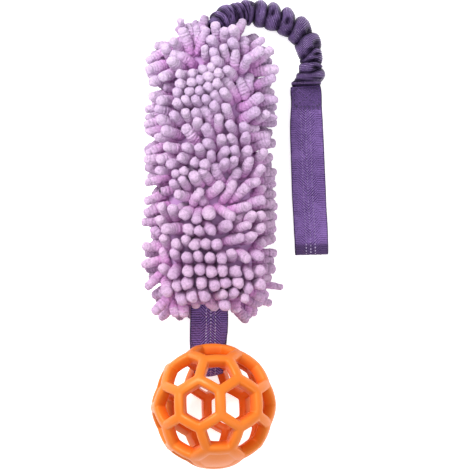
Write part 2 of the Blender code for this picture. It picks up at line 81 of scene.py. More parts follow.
# Chenille fingers of the front, as the camera sees them on the floor's plane:
# tip x, y, a point down the finger x, y, radius, level (0 on top, 2 lowest)
FINGERS = (
    (-36.8, 144.5, -34.8, 138.5, 2.4, 1), (-35.6, 138.9, -30.3, 125.8, 3.6, 0),
    (-31.4, 142.6, -30.3, 133.5, 2.2, 1), (-26.3, 141.4, -26.6, 131.7, 2.4, 1),
    (-19.8, 139.5, -25.9, 126.6, 3.1, 0), (-21.8, 140.9, -21.8, 135.8, 2.4, 1),
    (-13.3, 142.6, -11.6, 132, 3.2, 0), (-6.7, 139.2, -6.5, 130.3, 2.9, 0),
    (-1.5, 139.9, -1.2, 134.4, 3.8, 0), (5.3, 136.8, 4.6, 126.6, 2.9, 1),
    (8.3, 133.4, 6.4, 127.6, 2.6, 2), (-1.7, 131.4, 0.3, 127.6, 3.4, 0),
    (-16, 133.1, -12.1, 128.1, 3.4, 0), (-20.3, 127.1, -19.3, 119, 2.9, 0),
    (-14.5, 124.2, -13, 120.8, 3.2, 0), (-13.5, 119.5, -8.9, 116, 3.6, 0),
    (-8, 127.7, -4.6, 117.5, 2.9, 0), (0.3, 124.7, -0.4, 113.7, 3.1, 0),
    (18.6, 133.4, 6.1, 125.2, 2.6, 1), (17.4, 125.8, 5.5, 119.8, 3.4, 0),
    (24.1, 125.8, 14.3, 118.3, 3.1, 1), (27.3, 113, 12.1, 112.7, 3.4, 1),
    (25.5, 107.1, 12.9, 102.4, 3.1, 1), (8.6, 120.2, 3, 114, 3.1, 0),
    (2.4, 106, 6.8, 94.2, 3.4, 0), (10, 109.2, 8.2, 98.9, 3.2, 1), (-7.2, 106.2, 0.8, 94, 3.6, 0),
    (-7.6, 97.6, -4.6, 92.5, 3.4, 0), (17.1, 94.8, 3.8, 87.5, 3.6, 0),
    (25.5, 92.1, 19, 91, 2.7, 1), (24.7, 87.1, 19, 86.8, 2.4, 2),
    (-5.2, 112.7, -1.5, 107.7, 3.2, 0), (-15.9, 114.5, -15.1, 113, 3.2, 0),
    (-21.8, 113, -21.2, 111.9, 3.1, 0), (-29.2, 110.5, -27.3, 108.9, 3.1, 0),
    (-12.1, 111.1, -9.1, 107.7, 3.2, 0), (-18.6, 108.5, -17.1, 106.2, 3.6, 0),
    (-23.9, 106, -20.9, 104.1, 3.1, 0), (-29.5, 104.4, -27.7, 101.7, 3.1, 0),
    (-37.5, 102.9, -33.4, 101.4, 3.2, 0), (-12.5, 103.6, -10.2, 100.9, 3.2, 0),
    (-18.2, 101.4, -15.9, 98.6, 3.4, 0), (-24.6, 98.7, -22, 96.2, 3.2, 0),
    (-31.4, 98, -29.5, 95.5, 3.2, 0), (-39.3, 97.9, -36.8, 95.4, 3.4, 0),
    (-44.8, 101.3, -41.6, 100.7, 2.9, 1), (-55.8, 94.2, -46.3, 97.8, 3.6, 0),
    (-50.6, 91.6, -42.4, 92.4, 3.4, 0), (-39.6, 90.4, -34.8, 87.1, 3.2, 0),
    (-33.7, 92.6, -31.1, 89.4, 3.2, 0), (-26.9, 92.5, -24.3, 89.3, 3.2, 0),
    (-19.9, 92.9, -17.5, 89.4, 3.2, 0), (-14.1, 95.9, -9.6, 90.1, 3.4, 0),
    (-47.1, 127.5, -43.7, 121.1, 3.2, 0), (-42, 132, -37.5, 125.9, 3.2, 0),
    (-59.1, 119.1, -47.8, 125.1, 2.6, 1), (-52.5, 125.9, -43, 130.7, 2.4, 2),
    (-42.1, 123.5, -30.3, 118, 3.6, 0), (-43, 118.6, -37.1, 115, 3.8, 0),
    (-57.9, 112.6, -46.3, 118, 3.8, 0), (-48.9, 107.8, -41.7, 111.3, 3.4, 0),
    (-37.8, 109.7, -30.4, 108.8, 3.1, 0), (-55.8, 104.4, -46.1, 105.1, 3.6, 0),
    (-57, 86.5, -52.2, 88.4, 2.7, 1), (-51.7, 86.3, -42.4, 83.2, 3.4, 0),
    (-41.6, 81.7, -36.4, 77.1, 3.4, 0), (-33.7, 83.5, -29.5, 77.8, 3.2, 0),
    (-26.9, 83.9, -22.7, 80.9, 3.2, 0), (-21.1, 85.3, -15.1, 75.6, 3.6, 0),
    (-14.4, 88.5, -11.7, 83.1, 3.2, 0), (-6.1, 86.9, -3.8, 78.7, 3.4, 0),
    (14.1, 84.3, 4.6, 79.5, 3.4, 0), (21.3, 82.4, 12.9, 77.8, 2.9, 0),
    (25.2, 80.1, 21.2, 79.4, 2.4, 1), (-50.6, 79, -41.7, 75.7, 3.4, 0),
    (-59.2, 75.3, -51.6, 78.7, 2.9, 1), (-57, 71, -50.8, 72.1, 3.1, 1),
    (-47.5, 71.4, -38.7, 68.9, 3.4, 0), (-52.1, 66.9, -43.2, 65.1, 3.1, 0),
    (-25.7, 77.5, -24.6, 71.1, 3.1, 0), (-11.1, 80, -12.3, 71.8, 3.1, 0),
    (-3.5, 75.2, 0.7, 69.6, 3.2, 0), (6.1, 74.4, 5.3, 69.5, 3.1, 0),
    (22.1, 74.4, 12.1, 73.4, 2.7, 2), (22.5, 67.8, 10.6, 66.6, 3.1, 1),
    (7.5, 67.6, 6.1, 62.8, 3.2, 0), (-3, 66.5, 0, 61.3, 3.1, 0), (-9.1, 66, -10, 60.7, 3.2, 0),
    (21.1, 63.5, 12.1, 59.8, 2.9, 1), (-33.3, 72.7, -25.9, 63.5, 3.6, 0),
    (-19.9, 73.1, -14.4, 65.1, 3.6, 0), (-18.8, 62.8, -14.4, 59.6, 3.4, 0),
    (-24, 59.6, -22.6, 54.5, 3.4, 0), (-33.4, 60.1, -28.8, 57.5, 3.4, 0),
    (-46, 60, -37.1, 58.3, 3.4, 0), (-56.9, 56.4, -48.5, 60.5, 3.1, 1),
    (-0.5, 58.4, 0.4, 53.8, 3.1, 0), (8.8, 58, 4.6, 52.1, 3.2, 0),
    (-6.6, 57.3, -10.5, 52.1, 3.4, 0), (19.4, 56.5, 13.6, 49.9, 3.1, 0),
    (22.7, 52.2, 18.4, 48.7, 2.7, 2), (-16.4, 54.9, -15.8, 49.8, 2.9, 0),
    (-36.6, 52.6, -30.2, 53.5, 3.4, 0), (-44.1, 48.5, -37, 49.5, 3.2, 0),
    (-51.6, 43.9, -43.8, 45.2, 3.2, 0), (-50.5, 51.6, -40.9, 54.2, 3.4, 0),
    (-56.9, 51.6, -51.2, 52.5, 3.1, 1), (-27.7, 49.8, -26.6, 48, 3.1, 0),
    (-20.9, 48.3, -19.5, 44.5, 3.4, 0), (-0.4, 51.2, -2.3, 45.4, 2.9, 0),
    (-6.9, 49.7, -8.9, 45.3, 3.2, 0), (10, 51, 5.3, 42.3, 3.2, 0),
    (-13.5, 46.7, -8.9, 36.2, 3.2, 0), (17.9, 45.2, 11.4, 40.1, 3.1, 0),
    (-34.9, 43.8, -33.4, 41.9, 3.1, 0), (-27.7, 44.9, -26.6, 43.3, 2.7, 1),
    (-22, 43.5, -15.8, 36, 3.4, 0), (1.6, 43.8, -4.9, 33, 3.2, 0),
    (-0.6, 36.3, -7.7, 24.8, 3.2, 0), (-40.5, 41.9, -38.5, 40.7, 2.9, 0),
    (-27.6, 40, -24.3, 36.3, 3.8, 0), (-59.4, 35.8, -43.7, 39.8, 2.9, 1),
    (-36, 37.8, -31.7, 31.5, 3.1, 0), (-42.1, 35.3, -39.3, 32.2, 2.9, 0),
    (-22.3, 32.1, -26.9, 25.5, 3.1, 0), (-27.3, 27.6, -23.3, 24.2, 3.4, 1),
    (-10.4, 33.7, -19.2, 26.5, 3.4, 0), (14.5, 36.3, 7.2, 34.4, 3.2, 0),
    (7.1, 32.1, -1.6, 24.8, 3.2, 0), (19.6, 32.8, 16.4, 29.3, 2.9, 1),
    (23.9, 34.1, 18.4, 32.8, 2.7, 2), (-38.6, 27.6, -29.2, 24.8, 3.2, 0),
    (-46.3, 30.2, -42.3, 31.1, 2.9, 1), (-50.6, 32.3, -46.1, 34, 2.9, 2),
    (-58.4, 23.7, -49.3, 27.2, 2.9, 1), (-49.9, 19.2, -45.4, 11.9, 3.1, 0),
    (-59.5, 15.4, -51.6, 18.8, 3.1, 1), (-61.3, 8.7, -52.3, 9.7, 2.9, 1),
    (-51.1, 10.4, -49.8, 6, 3.2, 0), (-42.4, 17.9, -40.1, 12.8, 3.4, 0),
    (-36, 18.8, -38.1, 17.2, 2.4, 1), (-34.5, 13.8, -31, 16.8, 3.8, 0),
    (-26.2, 10.5, -24.6, 17.3, 3.2, 0), (-17.6, 13.8, -18.3, 16.6, 4.1, 0),
    (-2.7, 12.8, -11.4, 17.5, 3.4, 0), (8.6, 19.5, -2.5, 17.1, 3.1, 0),
    (18.2, 24, 6.8, 20.9, 3.1, 0), (25, 19.7, 19, 20.5, 2.9, 2), (12.1, 13.8, 6.8, 11.2, 3.2, 0),
    (4.2, 11.9, 3, 9.6, 2.9, 1), (18, 13.5, 15.7, 11.9, 3.1, 0), (-4.9, 6.7, -9.8, 4.4, 3.6, 0),
    (8.6, 6.8, 0, 3.5, 3.1, 0), (17.9, 5, 13.6, 2.9, 3.2, 0), (-46.7, 4.1, -37.1, 4.4, 3.8, 0),
    (-52.7, 1.6, -50.5, -1.6, 3.1, 1), (-31.9, 4, -30.4, 2.7, 3.6, 0),
    (-24.7, 2.9, -23.6, 1.4, 3.2, 0), (-16.1, 2.6, -19.1, 7, 3.4, 0),
    (-48.2, -2.2, -45.4, -7.8, 3.2, 0), (-60.2, -8, -50.8, -8.5, 3.1, 1),
    (-33.5, -3.3, -31.7, -5, 3.2, 0), (-40.3, -5.8, -39, -7.8, 3.6, 0),
    (-27.7, -7, -25.7, -4.5, 3.6, 0), (-20.1, -5.8, -19.2, -7.2, 3.4, 0),
    (-12.5, -6.2, -11.6, -7.5, 3.6, 0), (3.8, -1.9, -6.8, -4.8, 3.6, 0),
    (11.5, -0.7, 6.6, -3.3, 3.6, 0), (18, -5.5, 14.3, -8.3, 3.1, 1),
    (23.9, 3.8, 19.1, 2.7, 2.9, 2), (24.7, 12.1, 20.1, 10.9, 2.9, 2),
    (24.8, -12.3, 20.1, -13, 2.9, 2), (-41.4, -12.3, -39.3, -15.3, 3.2, 0),
    (-47.8, -12.3, -48.4, -17.1, 2.9, 1), (-33, -14.9, -31.8, -16.8, 3.6, 0),
    (-25.2, -14.2, -24.6, -16.2, 3.4, 0), (-17.1, -15.3, -16.5, -17.2, 3.4, 0),
    (-8.6, -16.4, -9, -14.1, 3.6, 0), (-2.3, -12.7, -3.1, -15.3, 3.4, 0),
    (7.7, -16, 2.3, -12.4, 3.4, 0), (16.4, -14.7, 12.1, -12, 3.4, 0),
    (-61.4, -19.9, -52.3, -17.3, 3.2, 1), (-48.9, -22.8, -48, -27.7, 3.4, 0),
    (-42.6, -27.4, -39, -22.7, 3.4, 0), (-32.3, -25.4, -31.3, -22.5, 3.6, 0),
    (-24.1, -24.3, -23.7, -21.8, 3.6, 0), (-16.1, -25.7, -16.6, -23.2, 3.6, 0),
    (-8.3, -24.7, -8.9, -22.5, 3.6, 0), (0.7, -25, -2.5, -25.5, 3.8, 0),
    (9.7, -27.3, 7.5, -23.3, 3.2, 0), (16.9, -24.3, 14.3, -25.4, 3.8, 0),
    (-59.1, -34.8, -52.3, -27.4, 3.2, 1), (31.1, -35.5, 22.7, -32.5, 2.2, 2),
    (-33, -33.7, -32.1, -31.4, 3.8, 0), (-39.6, -35.2, -38.5, -32.8, 3.4, 0),
    (-22.7, -33.2, -22.9, -30.4, 3.6, 0), (-13.8, -34.7, -15.1, -31.8, 3.6, 0),
    (-6.2, -33, -7.8, -31.7, 3.4, 0), (2.3, -32.6, 0.7, -31.7, 3.6, 0),
    (9, -36.7, 8.1, -34.1, 3.2, 0), (17.3, -33.8, 15, -32.8, 3.6, 0),
    (-46, -38.9, -47.9, -31.5, 3.6, 0), (-8.2, -40.1, -12.4, -41.6, 3.2, 0),
    (-0.5, -39.2, -4.1, -41.2, 3.4, 0), (6.7, -43.4, 5.5, -40.7, 3.2, 0),
    (13.4, -41.6, 10, -40.1, 2.9, 1), (19.9, -40.7, 16.4, -38.9, 2.9, 2),
    (22.2, -46.1, 20.1, -42.6, 2.6, 2), (-36.1, -44.6, -37.3, -40.7, 3.6, 0),
    (-29.2, -42.2, -29.5, -39.2, 3.8, 0), (-27, -46.5, -27.6, -43.5, 3.1, 1),
    (-20.6, -41.9, -22.2, -38.8, 3.8, 0), (-14.5, -48.7, -15.3, -43.4, 3.2, 1),
    (-6.9, -48.3, -7.6, -45, 3.6, 0), (0.5, -50.9, -0.1, -45.7, 3.4, 1),
    (7.5, -56.2, 8.5, -48.4, 2.7, 2), (12, -51.2, 13.6, -46.4, 2.6, 2),
    (-40.3, -53.4, -42.6, -48.7, 3.2, 1), (-54, -51.6, -49.9, -44.6, 3.2, 1),
    (-49.1, -55.5, -46.1, -49.9, 2.9, 2), (-34.9, -53.2, -35.8, -48.4, 3.2, 1),
    (-44.1, -45.4, -45, -42.3, 3.2, 2), (-53.2, -40.3, -49.8, -37.5, 3.1, 2),
    (3.8, -53.2, 4.1, -48.4, 3.1, 2), (15.4, -36.5, 12.3, -35.5, 2.7, 2),
)


# ---------------------------------------------------------------- helpers

def metres(p):
    """Layout millimetres to the row frame in metres."""
    return (np.asarray(p, float) - ORIGIN) * 0.001


def place(p):
    return tuple(float(x) for x in metres(p))


def unit(v):
    v = np.asarray(v, float)
    return v / np.maximum(np.linalg.norm(v, axis=-1, keepdims=True), 1e-9)


def ease(x):
    x = np.clip(x, 0, 1)
    return x * x * (3 - 2 * x)


def grid_quads(rows, cols, wrap=True, base=0):
    i = np.arange(rows - 1)[:, None]
    j = np.arange(cols if wrap else cols - 1)[None, :]
    k = (j + 1) % cols
    return (base + np.stack([i * cols + j, i * cols + k, (i + 1) * cols + k, (i + 1) * cols + j],
                            -1)).reshape(-1, 4)


def mesh_object(name, points, quads=(), tris=(), marks=None, smooth=True):
    """A mesh from layout points, with vector marks for its material to read."""
    points = metres(points)
    quads = np.asarray(quads, int).reshape(-1, 4)
    tris = np.asarray(tris, int).reshape(-1, 3)
    mesh = bpy.data.meshes.new(name)
    mesh.vertices.add(len(points))
    mesh.vertices.foreach_set("co", points.astype(np.float32).ravel())
    loops = np.concatenate([quads.ravel(), tris.ravel()]).astype(np.int32)
    mesh.loops.add(len(loops))
    mesh.loops.foreach_set("vertex_index", loops)
    mesh.polygons.add(len(quads) + len(tris))
    starts = np.concatenate([np.arange(len(quads)) * 4, 4 * len(quads) + np.arange(len(tris)) * 3])
    mesh.polygons.foreach_set("loop_start", starts.astype(np.int32))
    mesh.update(calc_edges=True)
    for key, values in (marks or {}).items():
        layer = mesh.attributes.new(key, "FLOAT_VECTOR", "POINT")
        layer.data.foreach_set("vector", np.asarray(values, np.float32).ravel())
    if smooth:
        mesh.shade_smooth()
    obj = bpy.data.objects.new(name, mesh)
    bpy.context.scene.collection.objects.link(obj)
    return obj


def dress(obj, mat):
    obj.data.materials.clear()
    obj.data.materials.append(mat)
    return obj


def smooth_route(controls, step):
    """Points a step apart on the Catmull-Rom curve through the controls."""
    p = [np.array(c, float) for c in controls]
    p = [2 * p[0] - p[1], *p, 2 * p[-1] - p[-2]]
    dense = []
    for i in range(1, len(p) - 2):
        for t in np.linspace(0, 1, 24, endpoint=False):
            dense.append(0.5 * (2 * p[i] + (p[i + 1] - p[i - 1]) * t
                                + (2 * p[i - 1] - 5 * p[i] + 4 * p[i + 1] - p[i + 2]) * t**2
                                + (3 * p[i] - p[i - 1] - 3 * p[i + 1] + p[i + 2]) * t**3))
    dense.append(p[-2])
    dense = np.array(dense)
    along = np.r_[0, np.cumsum(np.linalg.norm(np.diff(dense, axis=0), axis=1))]
    count = max(2, round(along[-1] / step) + 1)
    at = np.linspace(0, along[-1], count)
    return np.stack([np.interp(at, along, dense[:, k]) for k in range(3)], axis=1), at


def frames_along(path, up=(0.0, 0.0, 1.0)):
    """Tangents and two square directions along a path, without twist."""
    ahead = unit(np.gradient(path, axis=0))
    normal = np.zeros_like(path)
    n = np.array(up, float)
    for i, a in enumerate(ahead):
        n = unit(n - a * n.dot(a))
        normal[i] = n
    return ahead, normal, np.cross(ahead, normal)


class Paint:
    """A material made of shader nodes."""

    def __init__(self, name, roughness=0.8, sheen=0.0, sheen_rough=0.5, sheen_tint=None,
                 specular=0.5, subsurface=0.0, radius=None, coat=0.0, glow=None):
        self.mat = bpy.data.materials.new(name)
        self.mat.use_nodes = True
        self.tree = self.mat.node_tree
        self.shader = self.tree.nodes["Principled BSDF"]
        put = self.shader.inputs
        put["Roughness"].default_value = roughness
        put["Sheen Weight"].default_value = sheen
        put["Sheen Roughness"].default_value = sheen_rough
        if sheen_tint:
            put["Sheen Tint"].default_value = linear(*sheen_tint)
        put["Specular IOR Level"].default_value = specular
        put["Coat Weight"].default_value = coat
        if glow:
            put["Specular Tint"].default_value = (*glow, 1.0)
        if subsurface:
            put["Subsurface Weight"].default_value = subsurface
            put["Subsurface Radius"].default_value = radius or (1.0, 0.4, 0.3)
            put["Subsurface Scale"].default_value = 0.003

    def node(self, kind, **options):
        node = self.tree.nodes.new("ShaderNode" + kind)
        for key, value in options.items():
            setattr(node, key, value)
        return node

    def feed(self, socket, value):
        if isinstance(value, bpy.types.NodeSocket):
            self.tree.links.new(value, socket)
        else:
            socket.default_value = value

    def mark(self, name):
        """The three parts of a vector mark on the mesh."""
        source = self.node("Attribute", attribute_type="GEOMETRY", attribute_name=name)
        split = self.node("SeparateXYZ")
        self.tree.links.new(source.outputs["Vector"], split.inputs[0])
        return split.outputs[0], split.outputs[1], split.outputs[2], source.outputs["Vector"]

    def spot(self):
        """Object coordinates, in metres."""
        return self.node("TexCoord").outputs["Object"]

    def math(self, operation, a, b=0.0, c=0.0, clamp=False):
        node = self.node("Math", operation=operation, use_clamp=clamp)
        for socket, value in zip(node.inputs, (a, b, c)):
            self.feed(socket, value)
        return node.outputs[0]

    def noise(self, vector, scale, detail=2.0, roughness=0.5, stretch=None, distortion=0.0):
        if stretch:
            scaled = self.node("VectorMath", operation="MULTIPLY")
            self.feed(scaled.inputs[0], vector)
            scaled.inputs[1].default_value = stretch
            vector = scaled.outputs[0]
        node = self.node("TexNoise")
        self.feed(node.inputs["Vector"], vector)
        node.inputs["Scale"].default_value = scale
        node.inputs["Detail"].default_value = detail
        node.inputs["Roughness"].default_value = roughness
        node.inputs["Distortion"].default_value = distortion
        return node.outputs["Fac"]

    def span(self, value, low, high, to_low=0.0, to_high=1.0, smooth=True):
        node = self.node("MapRange", interpolation_type="SMOOTHSTEP" if smooth else "LINEAR")
        for key, v in (("Value", value), ("From Min", low), ("From Max", high),
                       ("To Min", to_low), ("To Max", to_high)):
            self.feed(node.inputs[key], v)
        return node.outputs["Result"]

    def mix(self, share, a, b, blend="MIX"):
        node = self.node("Mix", data_type="RGBA", blend_type=blend)
        self.feed(node.inputs[0], share)
        self.feed(node.inputs[6], a)
        self.feed(node.inputs[7], b)
        return node.outputs[2]

    def join(self, x, y, z):
        node = self.node("CombineXYZ")
        for socket, value in zip(node.inputs, (x, y, z)):
            self.feed(socket, value)
        return node.outputs[0]

    def bump(self, height, strength, distance, under=None):
        node = self.node("Bump")
        node.inputs["Strength"].default_value = strength
        node.inputs["Distance"].default_value = distance
        self.feed(node.inputs["Height"], height)
        if under is not None:
            self.feed(node.inputs["Normal"], under)
        return node.outputs["Normal"]

    def finish(self, colour, normal=None, roughness=None):
        self.feed(self.shader.inputs["Base Color"], colour)
        if normal is not None:
            self.feed(self.shader.inputs["Normal"], normal)
        if roughness is not None:
            self.feed(self.shader.inputs["Roughness"], roughness)
        return self.mat


def linear(red, green, blue):
    """Linear colour of an 8-bit display colour."""
    out = []
    for c in (red, green, blue):
        c = c / 255
        out.append(c / 12.92 if c <= 0.04045 else ((c + 0.055) / 1.055) ** 2.4)
    return (*out, 1.0)


# ---------------------------------------------------------------- materials

def chenille():
    """Plush finger: colour by height along it, ridges and fine fuzz, with shade painted darker towards the root, in the
    grooves between ridges and on the fringe and back fingers.
    """
    p = Paint("chenille_plush", roughness=0.95, sheen=0.22, sheen_rough=0.5,
              sheen_tint=(240, 218, 248), specular=0.1)
    tip, own, run, _ = p.mark("finger")
    groove_shade, shade, _, _ = p.mark("nap_shade")        # 0 in a groove to 1 on a tuft; share of colour
    spot = p.spot()
    split = p.node("SeparateXYZ")
    p.feed(split.inputs[0], spot)
    foot = p.span(split.outputs[1], -0.04, 0.13, 1.0, 0.0)
    patch = p.noise(spot, 260, 2)
    fuzz = p.noise(spot, 2300, 4, 0.7)
    tuft = p.noise(spot, 760, 2, 0.6)
    # Painted shade: the colour runs darker towards the finger's root, where shade falls between the fingers, and
    # lighter towards its tip.
    level = p.math("ADD", tip, p.math("MULTIPLY", p.math("SUBTRACT", patch, 0.5), 0.35))
    low = p.mix(own, linear(193, 134, 196), linear(209, 149, 210))
    high = p.mix(own, linear(203, 176, 212), linear(217, 193, 223))
    colour = p.mix(p.span(level, 0.1, 0.85), low, high)
    warm = p.mix(foot, (1.0, 1.0, 1.0, 1.0), (0.98, 0.87, 0.9, 1.0))
    colour = p.mix(1.0, colour, warm, "MULTIPLY")
    # Painted shade: darker in the grooves between the ridges, lighter on their tops, and darker again on the fringe and
    # back fingers; the fuzz and tufts add random tone.
    fuzz_and_shade = p.math("ADD", p.span(fuzz, 0.3, 0.72, -0.10, 0.08), p.span(groove_shade, 0.1, 0.8, 0.74, 1.06))
    fuzz_and_shade = p.math("ADD", fuzz_and_shade, p.span(tuft, 0.34, 0.66, -0.12, 0.09))
    fuzz_and_shade = p.math("MULTIPLY", fuzz_and_shade, shade)
    tint = p.mix(1.0, colour, p.join(fuzz_and_shade, fuzz_and_shade, fuzz_and_shade), "MULTIPLY")
    normal = p.bump(tuft, 0.9, 0.0014)
    normal = p.bump(fuzz, 0.8, 0.0006, normal)
    return p.finish(tint, normal)


def backing_cloth():
    p = Paint("backing_cloth", roughness=0.95, sheen=0.3, sheen_tint=(240, 220, 248), specular=0.15)
    spot = p.spot()
    split = p.node("SeparateXYZ")
    p.feed(split.inputs[0], spot)
    across = p.math("SINE", p.math("MULTIPLY", split.outputs[0], 2 * math.pi / 0.0011))
    along = p.math("SINE", p.math("MULTIPLY", split.outputs[1], 2 * math.pi / 0.0011))
    weave = p.math("MULTIPLY", across, along)
    patch = p.noise(spot, 120, 3)
    colour = p.mix(patch, linear(170, 124, 178), linear(198, 158, 206))
    normal = p.bump(weave, 0.4, 0.0002)
    normal = p.bump(p.noise(spot, 1800, 2), 0.3, 0.0003, normal)
    return p.finish(colour, normal)


def webbing_cloth(name, gap, base, light, middle, dots, plain_to, pitch_mm=1.8, crisp=0.36, fold=None, wear=(0.35, 1.25)):
    """Twill tape: chevrons of dots, ribs beside them, light pick-ups in columns."""
    p = Paint(name, roughness=0.55, sheen=0.1, sheen_rough=0.4, sheen_tint=(180, 150, 215),
              specular=0.3, glow=(0.75, 0.6, 0.95))
    u, v, edge, whole = p.mark("tape")          # along, across in mm, 1 at the edge
    wide = p.noise(p.spot(), 55, 3)
    away = p.math("ABSOLUTE", p.math("SUBTRACT", v, middle))
    chevron = p.math("SINE", p.math("MULTIPLY", p.math("ADD", u, away), 2 * math.pi / pitch_mm))
    beads = p.math("SINE", p.math("MULTIPLY", p.math("SUBTRACT", p.math("MULTIPLY", u, 0.5), away), 2 * math.pi / 1.02))
    ribs = p.math("SINE", p.math("MULTIPLY", u, 2 * math.pi / 1.25))
    yarns = p.math("SINE", p.math("MULTIPLY", v, 2 * math.pi / 0.9))
    inner = p.span(away, 5.0, 8.0, 1.0, 0.0)
    twill = p.math("MULTIPLY", chevron, p.math("ADD", p.math("MULTIPLY", beads, 0.45), 0.65))
    plain = p.math("ADD", p.math("MULTIPLY", ribs, 0.65), p.math("MULTIPLY", p.math("MULTIPLY", ribs, yarns), 0.45))
    weave = p.math("ADD", p.math("MULTIPLY", twill, inner),
                   p.math("MULTIPLY", plain, p.math("SUBTRACT", 1.0, inner)))
    grain = p.noise(whole, 1.6, 3, 0.65)
    sewn = p.span(u, plain_to - 1.5, plain_to + 1.0, 0.25, 1.0)
    worn = p.span(p.noise(whole, 0.16, 2, 0.6), 0.36, 0.62, *wear)
    weave = p.math("MULTIPLY", p.math("MULTIPLY", weave, sewn), worn)
    shade = p.math("ADD", p.math("MULTIPLY", weave, crisp),
                   p.math("ADD", p.math("MULTIPLY", p.math("MULTIPLY", grain, 1.15), p.math("ADD", p.math("MULTIPLY", sewn, 0.45), 0.55)), p.math("MULTIPLY", wide, 0.6)))
    colour = p.mix(p.span(shade, 0.42, 1.30), linear(*gap), linear(*light))
    colour = p.mix(0.12, colour, linear(*base))
    pitch, beat = dots[0], dots[1]
    column = p.span(p.math("PINGPONG", away, pitch / 2), 0.0, 0.55, 1.0, 0.0)
    gate = p.span(away, pitch * 0.35, pitch * 0.5, 0.0, 1.0)
    column = p.math("MULTIPLY", p.math("SUBTRACT", 1.0, p.math("MULTIPLY", gate, p.span(away, pitch * 0.75, pitch * 0.85, 1.0, 0.0))), column)
    inside = p.span(away, pitch * 1.12, pitch * 1.3, 1.0, 0.0)
    pulse = p.math("SINE", p.math("MULTIPLY", p.math("ADD", u, p.math("MULTIPLY", away, 0.33)), 2 * math.pi / beat))
    dot = p.math("MULTIPLY", p.math("MULTIPLY", column, inside), p.span(pulse, -0.1, 0.7))
    dot = p.math("MULTIPLY", dot, p.span(sewn, 0.5, 1.0))
    if fold is not None:
        # Painted shade: the tape is darkened in a strip round the hand loop's fold, where it turns away from the light,
        # and its dots are made stronger there.
        fold_shade_band = p.math("MULTIPLY", p.span(u, fold - 8.5, fold - 5.5, 0.0, 1.0), p.span(u, fold + 4.0, fold + 8.0, 1.0, 0.0))
        colour = p.mix(p.math("MULTIPLY", fold_shade_band, 0.62), colour, linear(*(int(c * 0.62) for c in gap)))
        dot = p.math("MULTIPLY", dot, p.math("ADD", 1.0, p.math("MULTIPLY", fold_shade_band, 3.2)))
    colour = p.mix(p.math("MINIMUM", p.math("MULTIPLY", dot, dots[3]), 1.0), colour, linear(*dots[2]))
    # Painted shade: the tape darkens towards its edges and sides.
    colour = p.mix(p.span(edge, 0.90, 0.99, 0.0, 0.8), colour, linear(*(int(c * 0.5) for c in gap)))
    normal = p.bump(weave, 0.6, 0.0004)
    normal = p.bump(dot, 0.4, 0.0004, normal)
    return p.finish(colour, normal)


def gathered_satin():
    """Sleeve of the bungee: ribbed satin, with shade painted dark into the creases and tucks and a painted highlight on
    the ribs.
    """
    p = Paint("gathered_satin", roughness=0.38, sheen=0.05, sheen_rough=0.3,
              sheen_tint=(170, 148, 200), specular=0.4, glow=(0.7, 0.5, 0.95))
    u, crown, _, whole = p.mark("gather")       # along in mm, 1 on the crown of a fold
    spot = p.spot()
    patch = p.noise(spot, 150, 3)
    fine = p.noise(spot, 2600, 2, 0.6)
    ribs = p.math("SINE", p.math("MULTIPLY", u, 2 * math.pi / 1.45))
    cross = p.noise(spot, 1300, 1)
    stria = p.span(p.noise(spot, 330, 2), 0.38, 0.6, 0.15, 1.0)
    # Painted shade: dark in the creases and tucks, light on the folds' crests.
    level = p.math("ADD", p.math("MULTIPLY", crown, 0.85), p.math("MULTIPLY", p.math("SUBTRACT", patch, 0.5), 0.8))
    level = p.math("ADD", level, p.math("MULTIPLY", p.math("MULTIPLY", ribs, stria), 0.30))
    level = p.math("ADD", level, p.math("MULTIPLY", p.math("SUBTRACT", fine, 0.5), 0.4))
    colour = p.mix(p.span(level, 0.25, 1.1), linear(14, 2, 28), linear(113, 89, 140))
    # Painted highlight: light lines along the ribs on the folds' crests.
    painted_glint = p.math("MULTIPLY", p.span(ribs, 0.35, 1.0), p.span(cross, 0.45, 0.62))
    painted_glint = p.math("MULTIPLY", painted_glint, p.math("MULTIPLY", stria, p.span(crown, 0.6, 0.95)))
    colour = p.mix(p.math("MULTIPLY", painted_glint, 0.7), colour, linear(190, 172, 212))
    normal = p.bump(ribs, 0.7, 0.0004)
    normal = p.bump(fine, 0.35, 0.0003, normal)
    return p.finish(colour, normal)


def moulded_rubber():
    """Orange rubber, with shade painted deeper and redder towards the inside of the ball."""
    p = Paint("moulded_rubber", roughness=0.36, specular=0.45, glow=(1.0, 0.8, 0.5))
    depth, _, _, _ = p.mark("rubber")
    spot = p.spot()
    cloud = p.noise(spot, 28, 3)
    grain = p.noise(spot, 1500, 2)
    pores = p.noise(spot, 420, 3)
    face = p.mix(cloud, linear(211, 106, 28), linear(222, 117, 38))
    # Painted shade: a deeper, redder orange towards the inner faces of the ribs, where shade and bounced light fall.
    core = p.mix(cloud, linear(203, 75, 0), linear(214, 85, 2))
    colour = p.mix(p.span(depth, 0.1, 0.85), core, face)
    rough = p.span(cloud, 0.2, 0.8, 0.34, 0.48)
    normal = p.bump(grain, 0.12, 0.0002)
    normal = p.bump(pores, 0.10, 0.0004, normal)
    return p.finish(colour, normal, rough)


def sewing_thread(name, colour_a, colour_b):
    p = Paint(name, roughness=0.6, sheen=0.2, specular=0.3)
    spot = p.spot()
    twist = p.noise(spot, 3000, 2, stretch=(1, 1, 1))
    normal = p.bump(twist, 0.4, 0.0002)
    return p.finish(p.mix(twist, linear(*colour_a), linear(*colour_b)), normal)


def loose_fibre():
    p = Paint("loose_fibre", roughness=1.0, sheen=0.5, specular=0.1)
    spot = p.spot()
    strand = p.noise(spot, 500, 4, 0.7, distortion=1.5)
    return p.finish(p.mix(strand, linear(214, 210, 206), linear(246, 245, 242)),
                    p.bump(strand, 0.7, 0.0012))


